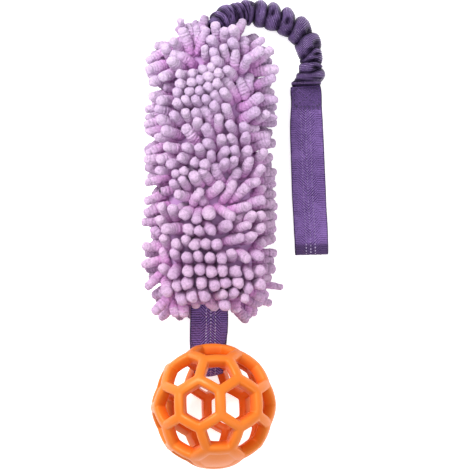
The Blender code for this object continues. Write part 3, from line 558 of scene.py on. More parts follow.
def latex():
    p = Paint("latex_core", roughness=0.5, specular=0.4, subsurface=0.1, radius=(1, 0.8, 0.6))
    spot = p.spot()
    bloom = p.noise(spot, 300, 3)
    return p.finish(p.mix(bloom, linear(218, 208, 190), linear(238, 232, 220)),
                    p.bump(p.noise(spot, 900, 2), 0.2, 0.0003))

# ---------------------------------------------------------------- mop core

def pillow_height(u, v, height):
    across = np.maximum(0.0, 1 - np.abs(u) ** 2.7) ** (1 / 2.7)
    along = np.maximum(0.0, 1 - np.abs(v) ** 5.0) ** (1 / 3.2)
    return height * across * along


def core_place(x, y):
    """Where a point lies on the core's outline: -1 to 1 each way, inside it."""
    v = (y - MOP_Y) / CORE_L
    u = (x - MOP_X) / (CORE_W * (1 - 0.16 * np.clip(np.abs(v), 0, 1) ** 9))
    v = v / (1 - 0.035 * np.clip(np.abs(u), 0, 1) ** 6)
    return u, v


def core_half(x, y):
    """Half thickness of the core at x, y."""
    u, v = core_place(x, y)
    return SLOT + pillow_height(np.clip(u, -1, 1), np.clip(v, -1, 1), CORE_H)


def core_normal(x, y, side):
    e = 0.5
    gx = (core_half(x + e, y) - core_half(x - e, y)) / (2 * e)
    gy = (core_half(x, y + e) - core_half(x, y - e)) / (2 * e)
    n = np.stack([-gx, -gy, np.ones_like(gx)], -1)
    n[..., 2] *= 1
    n = unit(n)
    n[..., 2] *= side
    return n


def core_cover():
    """Sewn backing of both panels, with a gentle ripple over its faces."""
    rows, cols = 96, 96
    t = np.linspace(-1, 1, rows)
    a = np.linspace(0, 2 * math.pi, cols, endpoint=False)
    v = np.sin(math.pi / 2 * t)
    points = []
    for vv in v:
        c, s = np.cos(a), np.sin(a)
        u = np.sign(c) * np.abs(c) ** 0.7
        side = np.sign(s)
        y = MOP_Y + CORE_L * vv * (1 - 0.035 * np.abs(u) ** 6)
        x = MOP_X + CORE_W * (1 - 0.16 * abs(vv) ** 9) * u
        high = pillow_height(u, np.full_like(u, vv), CORE_H)
        z = MOP_Z + side * (high + (SLOT - 0.2) * (np.abs(s) > 1e-6))
        z = z + 0.45 * np.sin(x * 0.42 + 1.3 * vv) * np.sin(y * 0.39) * np.clip(high / 6, 0, 1)
        points.append(np.stack([x, np.full_like(x, 0) + y, z], -1))
    points = np.array(points).reshape(-1, 3)
    quads = grid_quads(rows, cols)
    poles = np.array([(MOP_X, MOP_Y - CORE_L, MOP_Z), (MOP_X, MOP_Y + CORE_L, MOP_Z)])
    j = np.arange(cols)
    k = (j + 1) % cols
    base = rows * cols
    tris = np.concatenate([np.stack([k, j, np.full(cols, base)], -1),
                           np.stack([base - cols + j, base - cols + k, np.full(cols, base + 1)], -1)])
    return mesh_object("mop_backing", np.concatenate([points, poles]), quads[:, ::-1], tris[:, ::-1])


# ---------------------------------------------------------------- fingers

rng = np.random.default_rng(11)


def wanted_fingers():
    """Roots, tips, radii and lengths of all fingers, in layout millimetres."""
    roots, tips, radii, homes, sides = [], [], [], [], []

    def add(root, tip, radius, side, home=True):
        roots.append(root)
        tips.append(tip)
        radii.append(radius)
        homes.append(home)
        sides.append(side)

    for tx, ty, bx, by, radius, level in FINGERS:
        z = (53.0, 40.0, 27.0)[level]
        k = 1 - z / CAMERA_Z
        tip = np.array((tx * k, ty * k))
        lean = np.array((bx * k, by * k)) - tip
        seen = np.linalg.norm(lean)
        lean = lean / max(seen, 1e-6)
        reach = min(seen * 1.12 + 1.0, 15.5) if level == 0 else min(seen * 1.3 + 2.5, 17.0)
        root = tip + lean * reach
        for _ in range(40):
            u, v = core_place(root[0], root[1])
            if abs(u) < 0.97 and abs(v) < 0.985:
                break
            root = root + 0.5 * unit(np.array((MOP_X, np.clip(root[1], MOP_Y - 78, MOP_Y + 78))) - root)
        half = float(core_half(root[0], root[1]))
        if level == 0:
            base = MOP_Z + half - 0.8
        elif level == 1:
            base = MOP_Z + min(half, 6.0)
        else:
            base = MOP_Z - 1.0
        flat = np.linalg.norm(tip - root)
        rise = math.sqrt(max(FINGER_LENGTH**2 - flat**2, 1.0))
        top = base + (rise if level == 0 else min(rise, 3.0) if level == 1 else -3.0)
        k = 1 - top / CAMERA_Z
        add((root[0], root[1], base), (tx * k, ty * k, top), radius, 1)

    # The fringe between the panels, all round, below the front's fingers
    ring = []
    for k in range(400):
        a = 2 * math.pi * k / 400
        c, s = math.cos(a), math.sin(a)
        ring.append((math.copysign(abs(c) ** 0.35, c), math.copysign(abs(s) ** 0.35, s)))
    ring = np.array(ring) * (CORE_W * 0.93, CORE_L * 0.975)
    ring = np.r_[ring, ring[:1]]
    steps = np.r_[0, np.cumsum(np.linalg.norm(np.diff(ring, axis=0), axis=1))]
    for layer, (height, pitch, reach) in enumerate(((1.5, 8.0, 14.0), (-6.0, 7.6, 12.5))):
        count = int(steps[-1] / pitch)
        for k in range(count):
            at = (k + 0.5 * (layer % 2) + rng.uniform(-0.2, 0.2)) / count * steps[-1]
            x, y = (np.interp(at % steps[-1], steps, ring[:, i]) for i in (0, 1))
            out = unit(np.array((x / CORE_W**2 * 3.0, (y / CORE_L) ** 9 / 10.0)))
            turn = rng.uniform(-0.5, 0.5)
            out = np.array((out[0] * math.cos(turn) - out[1] * math.sin(turn),
                            out[0] * math.sin(turn) + out[1] * math.cos(turn)))
            root = np.array((MOP_X + x, MOP_Y + y, MOP_Z + height * 0.6))
            if abs(root[0] - STRAP_PIVOT[0]) < 15 and out[1] < -0.5 and layer == 0:
                continue
            if abs(root[0] - BUNGEE_PIVOT[0]) < 9 and out[1] > 0.5 and layer == 0:
                continue
            go = reach * rng.uniform(0.78, 1.03)
            tip = root + (out[0] * go, out[1] * go, height * 0.9 - 2.0)
            add(root, tip, rng.uniform(3.0, 3.4), -1 if layer else 1, False)

    # The back panel's fingers, pressed down by the mop's own weight
    for row in range(19):
        for col in range(6):
            v = -0.9 + 1.8 * (row + 0.5 * (col % 2) * 0.8) / 18.4 + rng.uniform(-0.012, 0.012)
            u = -0.8 + 1.6 * col / 5 + rng.uniform(-0.05, 0.05)
            x = MOP_X + CORE_W * u
            y = MOP_Y + CORE_L * v
            base = MOP_Z - float(core_half(x, y)) + 0.8
            angle = math.atan2(v * 1.2 + rng.uniform(-0.9, 0.9), u * 1.6 + rng.uniform(-0.7, 0.7))
            go = 13.0 * rng.uniform(0.75, 1.0)
            tip = (x + go * math.cos(angle), y + go * math.sin(angle), 3.6)
            add((x, y, base), tip, rng.uniform(2.9, 3.3), -1, False)
    return (np.array(roots), np.array(tips), np.array(radii), np.array(homes), np.array(sides))


def settle(roots, tips, radii, homes, sides, rounds=110):
    """Lets the fingers push each other apart and rest on the core and floor."""
    count, joints = len(roots), 6
    flat = tips - roots
    length = np.clip(np.linalg.norm(flat, axis=1), 13.5, 22.0)
    length = np.where(homes, np.maximum(length, FINGER_LENGTH), FINGER_LENGTH * 0.97)
    segment = length / (joints - 1)
    normal = core_normal(roots[:, 0], roots[:, 1], sides)
    start = unit(normal * 0.75 + unit(flat) * 0.8)
    t = np.linspace(0, 1, joints)[None, :, None]
    knee = roots[:, None] + start[:, None] * (length * 0.45)[:, None, None]
    p = (1 - t) ** 2 * roots[:, None] + 2 * t * (1 - t) * knee + t * t * tips[:, None]
    aim = tips[:, :2] / (1 - tips[:, 2:3] / CAMERA_Z)
    aim_z = tips[:, 2].copy()
    owner = np.repeat(np.arange(count), joints)
    rank = np.tile(np.arange(joints), count)
    rad = np.repeat(radii, joints)
    free = (rank > 0).astype(float)
    pairs = None
    for step in range(rounds):
        flat_p = p.reshape(-1, 3)
        if step % 8 == 0:
            q = flat_p.astype(np.float32)
            found = []
            for lo in range(0, len(q), 512):
                d2 = ((q[lo:lo + 512, None] - q[None]) ** 2).sum(-1)
                i, j = np.nonzero(d2 < 81.0)
                i += lo
                keep = (j > i) & (owner[i] != owner[j]) & (rank[i] + rank[j] > 1)
                found.append(np.stack([i[keep], j[keep]]))
            pairs = np.concatenate(found, 1)
        i, j = pairs
        gap = flat_p[j] - flat_p[i]
        dist = np.linalg.norm(gap, axis=1)
        lack = np.maximum(0, 0.93 * (rad[i] + rad[j]) - dist)
        move = gap / np.maximum(dist, 1e-6)[:, None] * (lack * 0.42)[:, None]
        push = np.zeros_like(flat_p)
        for axis in range(3):
            push[:, axis] = (np.bincount(j, move[:, axis], len(flat_p))
                             - np.bincount(i, move[:, axis], len(flat_p)))
        size = np.linalg.norm(push, axis=1, keepdims=True)
        push *= np.minimum(1, 1.6 / np.maximum(size, 1e-6))
        flat_p = flat_p + push * free[:, None]
        p = flat_p.reshape(count, joints, 3)
        # Straighten a little, and leave the root along its own direction
        p[:, 1] += 0.25 * (roots + start * segment[:, None] - p[:, 1])
        p[:, 2:-1] += 0.22 * ((p[:, 1:-2] + p[:, 3:]) / 2 - p[:, 2:-1])
        # The front's tips stay where they are seen
        want = aim * (1 - p[:, -1, 2:3] / CAMERA_Z)
        p[:, -1, :2] += np.where(homes, 0.5, 0.06)[:, None] * (want - p[:, -1, :2])
        p[:, -1, 2] += np.where(homes, 0.15, 0.03) * (aim_z - p[:, -1, 2])
        for k in range(1, joints):
            p[:, k] = p[:, k - 1] + unit(p[:, k] - p[:, k - 1]) * segment[:, None]
        # Off the core and the floor
        u, v = core_place(p[..., 0], p[..., 1])
        inside = (np.abs(u) < 1) & (np.abs(v) < 1)
        half = core_half(p[..., 0], p[..., 1]) + 0.75 * radii[:, None]
        above = sides[:, None] > 0
        rise = np.where(above, np.maximum(0, MOP_Z + half - p[..., 2]),
                        np.minimum(0, MOP_Z - half - p[..., 2]))
        weight = np.array((0, 0.1, 0.5, 0.9, 0.9, 0.9))
        p[..., 2] += np.where(inside, rise, 0) * weight
        p[..., 2] = np.maximum(p[..., 2], radii[:, None] * 0.97)
    return p, length


def finger_meshes():
    roots, tips, radii, homes, sides = wanted_fingers()
    p, length = settle(roots, tips, radii, homes, sides)
    count, joints = p.shape[:2]
    body, cap, round_ = 48, 6, 14
    # Smooth spine through the joints
    t = np.linspace(0, joints - 1, body)
    k = np.clip(t.astype(int), 0, joints - 2)
    f = (t - k)[None, :, None]
    ext = np.concatenate([2 * p[:, :1] - p[:, 1:2], p, 2 * p[:, -1:] - p[:, -2:-1]], 1)
    a, b, c, d = (ext[:, k + n] for n in range(4))
    spine = 0.5 * (2 * b + (c - a) * f + (2 * a - 5 * b + 4 * c - d) * f**2
                   + (3 * b - a - 3 * c + d) * f**3)
    ahead = unit(np.gradient(spine, axis=1))
    along = np.concatenate([np.zeros((count, 1)),
                            np.cumsum(np.linalg.norm(np.diff(spine, axis=1), axis=2), 1)], 1)
    total = along[:, -1:]
    own = rng.random(count)
    kind = rng.random(count)
    ridge = np.where(kind < 0.35, 0.42, np.where(kind < 0.7, 0.32, 0.22))
    phase = rng.uniform(0, 6.28, (count, 4))
    pitch = rng.uniform(1.9, 2.4, count)
    # Square directions round the spine
    n = np.zeros((count, 3))
    n[:, 0] = 1
    n = unit(n - ahead[:, 0] * (n * ahead[:, 0]).sum(1, keepdims=True))
    square = []
    for i in range(body):
        n = unit(n - ahead[:, i] * (n * ahead[:, i]).sum(1, keepdims=True))
        square.append(n)
    square = np.stack(square, 1)
    side = np.cross(ahead, square)
    theta = np.linspace(0, 2 * math.pi, round_, endpoint=False)
    s = along[:, :, None]
    th = theta[None, None, :]
    ph = phase[:, None, None, :]
    wave = np.abs(np.sin(math.pi * (s + 0.25 * np.sin(th + ph[..., 0])) / pitch[:, None, None] + ph[..., 1])) ** 0.7
    lump = 0.05 * np.sin(2 * th + ph[..., 2]) + 0.04 * np.sin(s * 0.55 + ph[..., 3]) + 0.03 * np.sin(3 * th + s * 0.7 + ph[..., 0])
    share = s / total[:, :, None]
    shape = 0.84 + 0.2 * ease(share / 0.45) - 0.06 * ease((share - 0.6) / 0.4)
    # Tufts of the nap
    gen = np.random.default_rng(3)
    coarse = gen.normal(0, 1, (count, 19, round_))
    at = np.linspace(0, 18, body)
    k0 = np.clip(at.astype(int), 0, 17)
    blend = (at - k0)[None, :, None]
    nub = coarse[:, k0] * (1 - blend) + coarse[:, k0 + 1] * blend
    nub = (nub + 0.6 * np.roll(nub, 1, 2)) / 1.17
    rough_skin = ridge[:, None, None] * (wave - 0.6) + 0.15 * nub
    r = radii[:, None, None] * shape * (1 + lump) + rough_skin
    ring = spine[:, :, None] + r[..., None] * (square[:, :, None] * np.cos(th)[..., None]
                                                + side[:, :, None] * np.sin(th)[..., None])
    # Rounded tip
    caps, cap_t = [], []
    last = r[:, -1]
    for m in range(1, cap):
        ang = math.pi / 2 * m / cap
        rough = 1 + 0.035 * np.sin(3 * theta[None] + phase[:, :1] * 2 + m) + gen.normal(0, 0.07, (count, round_))
        rr = last * math.cos(ang) ** 0.85 * rough
        out = radii * 0.92 * math.sin(ang)
        centre = spine[:, -1] + ahead[:, -1] * out[:, None]
        caps.append(centre[:, None] + rr[..., None] * (square[:, -1, None] * np.cos(theta)[None, :, None]
                                                        + side[:, -1, None] * np.sin(theta)[None, :, None]))
    caps = np.stack(caps, 1)
    rings = np.concatenate([ring, caps], 1)
    rows = body + cap - 1
    end = spine[:, -1] + ahead[:, -1] * (radii * 0.9)[:, None]
    first = spine[:, 0]
    run = np.concatenate([along, total + radii[:, None] * np.sin(math.pi / 2 * np.arange(1, cap) / cap)], 1)
    full = total + radii[:, None]
    marks = np.stack([np.repeat((run / full)[:, :, None], round_, 2),
                      np.broadcast_to(own[:, None, None], (count, rows, round_)),
                      np.repeat(run[:, :, None], round_, 2)], -1)
    # Painted shade for the material: low in the grooves between the ridges, high on their tops.
    nap_shade = np.full((count, rows, round_), 0.62)
    nap_shade[:, :body] = np.clip(0.55 + rough_skin / 0.7, 0, 1)
    nap_shade[:, body:] += gen.normal(0, 0.1, (count, cap - 1, round_))
    # One mesh per group
    groups = {}
    for i in range(count):
        if i < len(FINGERS):
            third = int(np.clip((p[i, -1, 1] - MOP_Y + CORE_L) / (2 * CORE_L) * 3, 0, 2))
            word = "pile_front_" + ("foot", "middle", "head")[third]
        elif sides[i] > 0:
            word = "pile_fringe"
        else:
            word = "pile_back_head" if p[i, 0, 1] > MOP_Y else "pile_back_foot"
        groups.setdefault(word, []).append(i)
    quads1 = grid_quads(rows, round_)
    j = np.arange(round_)
    kk = (j + 1) % round_
    per = rows * round_ + 2
    tri1 = np.concatenate([np.stack([kk, j, np.full(round_, per - 2)], -1),
                           np.stack([(rows - 1) * round_ + j, (rows - 1) * round_ + kk, np.full(round_, per - 1)], -1)])
    made = []
    for word, members in sorted(groups.items()):
        pts, mk, height = [], [], []
        # Painted shade: the fringe and back fingers get a darker share of colour, as they lie lower, in the shade of
        # the front.
        shade = 1.0 if "front" in word else 0.86 if "fringe" in word else 0.8
        for i in members:
            height.append(np.concatenate([nap_shade[i].ravel(), [0.3, 0.7]]))
            pts.append(np.concatenate([rings[i].reshape(-1, 3), first[i:i + 1], end[i:i + 1]]))
            mk.append(np.concatenate([marks[i].reshape(-1, 3), [[0, own[i], 0]], [[1, own[i], run[i, -1] + 0.4]]]))
        shift = (np.arange(len(members)) * per)[:, None, None]
        made.append(mesh_object(word, np.concatenate(pts), (quads1[None] + shift).reshape(-1, 4),
                                (tri1[None] + shift).reshape(-1, 3),
                                {"finger": np.concatenate(mk),
                                 "nap_shade": np.stack([np.concatenate(height), np.full(per * len(members), shade), np.zeros(per * len(members))], -1)}))
    return made


# ---------------------------------------------------------------- ball

def lattice():
    """Cells of a truncated icosahedron, turned to its rest position."""
    g = (1 + math.sqrt(5)) / 2
    axes = []
    for a in (1, -1):
        for b in (1, -1):
            axes += [(0, a, b * g), (a, b * g, 0), (a * g, 0, b)]
    axes = [Vector(a).normalized() for a in axes]
    near = min((axes[0] - a).length for a in axes[1:])
    z, y, x = (math.radians(d) for d in BALL_TURN)
    turn = Matrix.Rotation(x, 3, "X") @ Matrix.Rotation(y, 3, "Y") @ Matrix.Rotation(z, 3, "Z")
    corners, owner = [], []
    for i, a in enumerate(axes):
        for j, b in enumerate(axes):
            if i != j and abs((a - b).length - near) < 1e-6:
                corners.append((turn @ (a * 2 + b)).normalized())
                owner.append((i, j))
    cells = [[k for k, o in enumerate(owner) if o[0] == i] for i in range(12)]
    for i in range(12):
        for j in range(i + 1, 12):
            for k in range(j + 1, 12):
                trio = {i, j, k}
                cell = [n for n, o in enumerate(owner) if set(o) <= trio]
                if len(cell) == 6:
                    cells.append(cell)
    ordered = []
    for cell in cells:
        mid = sum((corners[k] for k in cell), Vector()).normalized()
        side = (corners[cell[0]] - mid * corners[cell[0]].dot(mid)).normalized()
        up = mid.cross(side)
        ordered.append(sorted(cell, key=lambda k: math.atan2(corners[k].dot(up), corners[k].dot(side))))
    return corners, ordered


corners, cells = lattice()
STEPS = (0.0, 0.07, 0.14, 0.24, 0.37, 0.5, 0.63, 0.76, 0.86, 0.93)   # along a rib, corner to corner
ARC = 0.14                                                           # share that rounds a hole's corner


def hole_ring(cell, radius, half_width, fillet):
    """Outline of a cell's hole on the sphere of that radius, its corners rounded."""
    n = len(cell)
    rays = np.array([corners[k] for k in cell])
    middle = unit(rays.mean(0))
    flat = float((rays @ middle).mean())
    rays = rays - middle * flat
    round_in = float(np.linalg.norm(rays[0])) * math.cos(math.pi / n)
    rays = rays * (1 - half_width / radius / round_in)
    f = fillet / radius
    out = []
    for i in range(n):
        a, b = rays[i], rays[(i + 1) % n]
        back = f * math.tan(math.pi / n)
        run = unit(b - a)
        ends = (a + run * back, b - run * back)
        for t in STEPS:
            if t < ARC or t > 1 - ARC:
                first = t < ARC
                turn = (t / ARC if first else (1 - t) / ARC) * math.pi / n
                hub = a if first else b
                hub = hub * (1 - f / math.cos(math.pi / n) / np.linalg.norm(hub))
                # From the corner's own direction towards the side's
                aim = unit(a if first else b)
                swing = math.pi / n - turn
                side = unit(ends[0] - hub) if first else unit(ends[1] - hub)
                away = unit(side - aim * float(side @ aim))
                angle = math.pi / n - swing
                out.append(hub + f * (aim * math.cos(angle) + away * math.sin(angle)))
            else:
                k = (t - ARC) / (1 - 2 * ARC)
                out.append(ends[0] + (ends[1] - ends[0]) * k)
    return unit(np.array(out) + middle * flat)


def lattice_ball():
    """The ball's ribs, rounded on their outer faces, with one cell closed."""
    centre = np.array(BALL_C)
    inner_r = BALL_R - RIB_DEPTH
    points, deep, quads, tris = [], [], [], []
    shared = {}
    closed_cell = max((i for i, c in enumerate(cells) if len(c) == 6),
                      key=lambda i: sum(0.47 * corners[k].z - 0.88 * corners[k].y for k in cells[i]))

    def put(direction, radius):
        points.append(centre + np.asarray(direction) * radius)
        deep.append((radius - inner_r) / RIB_DEPTH)
        return len(points) - 1

    def middle_line(cell, radius, layer):
        """The line that a cell shares with its neighbours, one point per step."""
        out = []
        n = len(cell)
        for i in range(n):
            a, b = cell[i], cell[(i + 1) % n]
            for k, t in enumerate(STEPS):
                if k == 0:
                    key = (layer, a)
                else:
                    key = (layer, a, b, k) if a < b else (layer, b, a, len(STEPS) - k)
                if key not in shared:
                    ray = unit(np.array(corners[a]) * (1 - t) + np.array(corners[b]) * t)
                    shared[key] = put(ray, radius)
                out.append(shared[key])
        return out

    for i, cell in enumerate(cells):
        top = middle_line(cell, BALL_R + 0.35, "out")
        low = middle_line(cell, inner_r - 0.1, "in")
        count = len(top)
        rays_top = unit(np.array([points[k] for k in top]) - centre)
        rays_low = unit(np.array([points[k] for k in low]) - centre)
        slim = 0.75 if len(cell) == 5 else 0.2
        outer = hole_ring(cell, BALL_R - 2.0, RIB_WIDTH_OUT / 2 - 0.15 - slim, 1.5)
        inner = hole_ring(cell, inner_r + 1.0, RIB_WIDTH_IN / 2 - slim, 1.3)
        rings = [top]
        shut = i == closed_cell
        drops = (0.27, 0.12, -0.1, -0.28, -0.42) if shut else (0.27, 0.05, -0.32, -0.82, -1.45)
        for share, radius in zip((0.30, 0.55, 0.76, 0.90, 0.975), drops):
            rings.append([put(d, BALL_R + radius) for d in unit(rays_top * (1 - share) + outer * share)])
        rings.append([put(d, BALL_R - (0.5 if shut else 2.3)) for d in outer])
        if shut:
            hub_ray = unit(outer.mean(0))
            for shrink, sink in ((0.94, 0.55), (0.84, 0.6), (0.55, 0.55), (0.28, 0.5)):
                ring = unit(hub_ray * (1 - shrink) + outer * shrink)
                rings.append([put(d, BALL_R - sink) for d in ring])
            hub = put(hub_ray, BALL_R - 0.45)
            groups = [(rings, hub, False)]
            back = [low]
            for share, radius in ((0.5, 0.05), (0.9, 0.5)):
                back.append([put(d, inner_r + radius) for d in unit(rays_low * (1 - share) + inner * share)])
            for shrink in (0.8, 0.5, 0.25):
                back.append([put(d, inner_r + 1.2) for d in unit(hub_ray * (1 - shrink) + inner * shrink)])
            groups.append((back, put(hub_ray, inner_r + 1.2), True))
            for loops, pole, flip in groups:
                for p, q in zip(loops, loops[1:]):
                    for j in range(count):
                        k = (j + 1) % count
                        quads.append((p[j], p[k], q[k], q[j])[::-1 if flip else 1])
                for j in range(count):
                    k = (j + 1) % count
                    tris.append((loops[-1][j], loops[-1][k], pole)[::-1 if flip else 1])
            continue
        for share in (0.35, 0.7):
            ring = unit(outer * (1 - share) + inner * share)
            rings.append([put(d, (BALL_R - 2.3) * (1 - share) + (inner_r + 1.3) * share) for d in ring])
        rings.append([put(d, inner_r + 1.2) for d in inner])
        for share, radius in ((0.95, 0.6), (0.78, 0.15), (0.45, -0.05)):
            rings.append([put(d, inner_r + radius) for d in unit(rays_low * (1 - share) + inner * share)])
        rings.append(low)
        for p, q in zip(rings, rings[1:]):
            for j in range(count):
                k = (j + 1) % count
                quads.append((p[j], p[k], q[k], q[j]))
    # How deep each point lies, for the painted shade of the rubber.
    depth = np.array(deep)
    marks = np.stack([depth, np.zeros_like(depth), np.zeros_like(depth)], -1)
    return mesh_object("rubber_lattice_ball", np.array(points), quads, tris, {"rubber": marks})


# ---------------------------------------------------------------- webbing

def table_at(x, table, soft=True):
    """Smooth value at x of a table of (x, value)."""
    xs, vs = np.array([r[0] for r in table], float), np.array([r[1] for r in table], float)
    i = int(np.clip(np.searchsorted(xs, x) - 1, 0, len(xs) - 2))
    t = (x - xs[i]) / (xs[i + 1] - xs[i])
    t = float(np.clip(t, 0, 1))
    return vs[i] + (vs[i + 1] - vs[i]) * (t * t * (3 - 2 * t) if soft else t)


def ribbon(name, mids, across, width, thick, cup=None, start=0.0, columns=26, ribs=0.13, wave=None, step=1.8):
    """Woven tape along mids: a closed mesh with herringbone ribs and bound edges."""
    mids, across = np.array(mids, float), unit(across)
    n = len(mids)
    ahead = unit(np.gradient(mids, axis=0))
    across = unit(across - ahead * (across * ahead).sum(1, keepdims=True))
    up = np.cross(ahead, across)
    run = start + np.r_[0, np.cumsum(np.linalg.norm(np.diff(mids, axis=0), axis=1))]
    width = np.broadcast_to(np.asarray(width, float), n)[:, None]
    thick = np.broadcast_to(np.asarray(thick, float), n)[:, None]
    cup = np.zeros((n, 1)) if cup is None else np.asarray(cup, float)[:, None]
    top = np.linspace(-0.965, 0.965, columns)
    v = np.r_[top, 0.995, 1.0, 0.995, top[::-1], -0.995, -1.0, -0.995][None, :]
    h = np.r_[np.ones(columns), 0.62, 0.0, -0.62, -np.ones(columns), -0.62, 0.0, 0.62][None, :]
    x = v * width / 2
    lean = 0.55 * np.abs(x)
    weave = np.sin(2 * math.pi * (run[:, None] + lean) / step)
    edge = np.clip((np.abs(x) - (width / 2 - 1.5)) / 0.4, 0, 1)
    bead = 0.10 * edge - 0.16 * np.exp(-((np.abs(x) - (width / 2 - 1.7)) / 0.28) ** 2)
    lift = h * thick / 2 + np.sign(h) * (ribs * weave * (1 - 0.7 * edge) + bead)
    if wave is not None:
        lift = lift + wave(run[:, None], x)
    arc = cup * np.abs(v) ** 2
    squeeze = np.sqrt(np.maximum(0.2, 1 - np.clip(2 * cup * np.abs(v) / np.maximum(width / 2, 1e-6), 0, 0.85) ** 2))
    # Arc length kept while the section cups
    xx = np.zeros((n, v.shape[1]))
    fine = np.linspace(0, 1, 40)
    slope = np.clip(2 * cup * fine[None] / (width / 2), 0, 4)
    grow = np.concatenate([np.zeros((n, 1)), np.cumsum(1 / np.sqrt(1 + slope[:, 1:] ** 2), 1)], 1) / 39
    for i in range(n):
        xx[i] = np.sign(v[0]) * np.interp(np.abs(v[0]), fine, grow[i]) * width[i] / 2
    points = (mids[:, None] + across[:, None] * xx[..., None]
              + up[:, None] * (lift + arc)[..., None])
    ring = v.shape[1]
    marks = np.stack([np.broadcast_to(run[:, None], x.shape), x, np.broadcast_to(np.abs(v), x.shape)], -1)
    quads = grid_quads(n, ring)
    ends = [points[0].mean(0), points[-1].mean(0)]
    j = np.arange(ring)
    k = (j + 1) % ring
    base = n * ring
    tris = np.concatenate([np.stack([k, j, np.full(ring, base)], -1),
                           np.stack([base - ring + j, base - ring + k, np.full(ring, base + 1)], -1)])
    flat = np.concatenate([points.reshape(-1, 3), ends])
    marks = np.concatenate([marks.reshape(-1, 3), [[run[0], 0, 0], [run[-1], 0, 0]]])
    # Faces outwards
    q = flat[quads]
    volume = np.einsum("ij,ij->i", q[:, 0], np.cross(q[:, 1], q[:, 2])).sum()
    volume += np.einsum("ij,ij->i", q[:, 0], np.cross(q[:, 2], q[:, 3])).sum()
    if volume < 0:
        quads, tris = quads[:, ::-1], tris[:, ::-1]
    return mesh_object(name, flat, quads, tris, {"tape": marks}), run[-1] - run[0]


def stitches(name, lines, pitch=2.4, length=1.7, radius=0.3):
    """Lock stitches along lines of surface points: each a short bead of thread."""
    rings, sides = 7, 6
    points, quads, tris, marks = [], [], [], []
    theta = np.linspace(0, 2 * math.pi, sides, endpoint=False)
    for line, normal in lines:
        line = np.array(line, float)
        run = np.r_[0, np.cumsum(np.linalg.norm(np.diff(line, axis=0), axis=1))]
        count = max(1, int(run[-1] / pitch))
        for i in range(count):
            at = (i + 0.5) / count * run[-1]
            span = [np.interp(at + d, run, line[:, 0]) for d in (-0.01, 0.01)]
            a = np.array([np.interp(at - length / 2, run, line[:, k]) for k in range(3)])
            b = np.array([np.interp(at + length / 2, run, line[:, k]) for k in range(3)])
            run_dir = unit(b - a)
            up = unit(np.array(normal, float) - run_dir * float(np.dot(normal, run_dir)))
            side = np.cross(run_dir, up)
            base = len(points)
            for r in range(1, rings):
                t = r / rings
                rad = radius * math.sin(math.pi * t) ** 0.45
                mid = a + (b - a) * t + up * (0.22 * math.sin(math.pi * t) - 0.12)
                for th in theta:
                    points.append(mid + rad * (side * math.cos(th) + up * math.sin(th)))
            points += [a - up * 0.15, b - up * 0.15]
            quads.append(grid_quads(rings - 1, sides, base=base))
            last = base + (rings - 2) * sides
            for j in range(sides):
                k = (j + 1) % sides
                tris.append((base + k, base + j, len(points) - 2))
                tris.append((last + j, last + k, len(points) - 1))
    quads = np.concatenate(quads)
    return mesh_object(name, np.array(points), quads, tris)


def box_lines(at, across, along, wide, long, normal):
    """A box stitched with a cross, as lines of points."""
    at, across, along = (np.array(v, float) for v in (at, across, along))
    c = [at + across * sx * wide / 2 + along * sy * long / 2
         for sx, sy in ((-1, -1), (1, -1), (1, 1), (-1, 1))]
    pairs = ((0, 1), (1, 2), (2, 3), (3, 0), (0, 2), (1, 3))
    return [([c[i], c[j]], normal) for i, j in pairs]


# Ball strap: from the mop's foot over the rib, through the holes, and back
STRAP_RIB = Vector((-0.16, 0.67, -0.72)).normalized()
rib = max(({a, b} for cell in cells for a, b in zip(cell, cell[1:] + cell[:1])),
          key=lambda e: sum((corners[k] for k in e), Vector()).dot(STRAP_RIB))
rib_a, rib_b = sorted((corners[k] for k in rib), key=lambda c: c.x)
rib_mid = np.array(Vector(BALL_C) + (rib_a + rib_b).normalized() * (BALL_R - RIB_DEPTH / 2))
rib_axis = np.array((rib_b - rib_a).normalized())
reach = np.array(STRAP_PIVOT) - rib_mid
strap_h = unit(reach)
strap_a = unit(rib_axis - strap_h * float(rib_axis @ strap_h))
strap_n = np.cross(strap_a, strap_h)
if float(strap_n @ (rib_mid - np.array(BALL_C))) < 0:
    strap_n = -strap_n
LOOP_R = 6.0


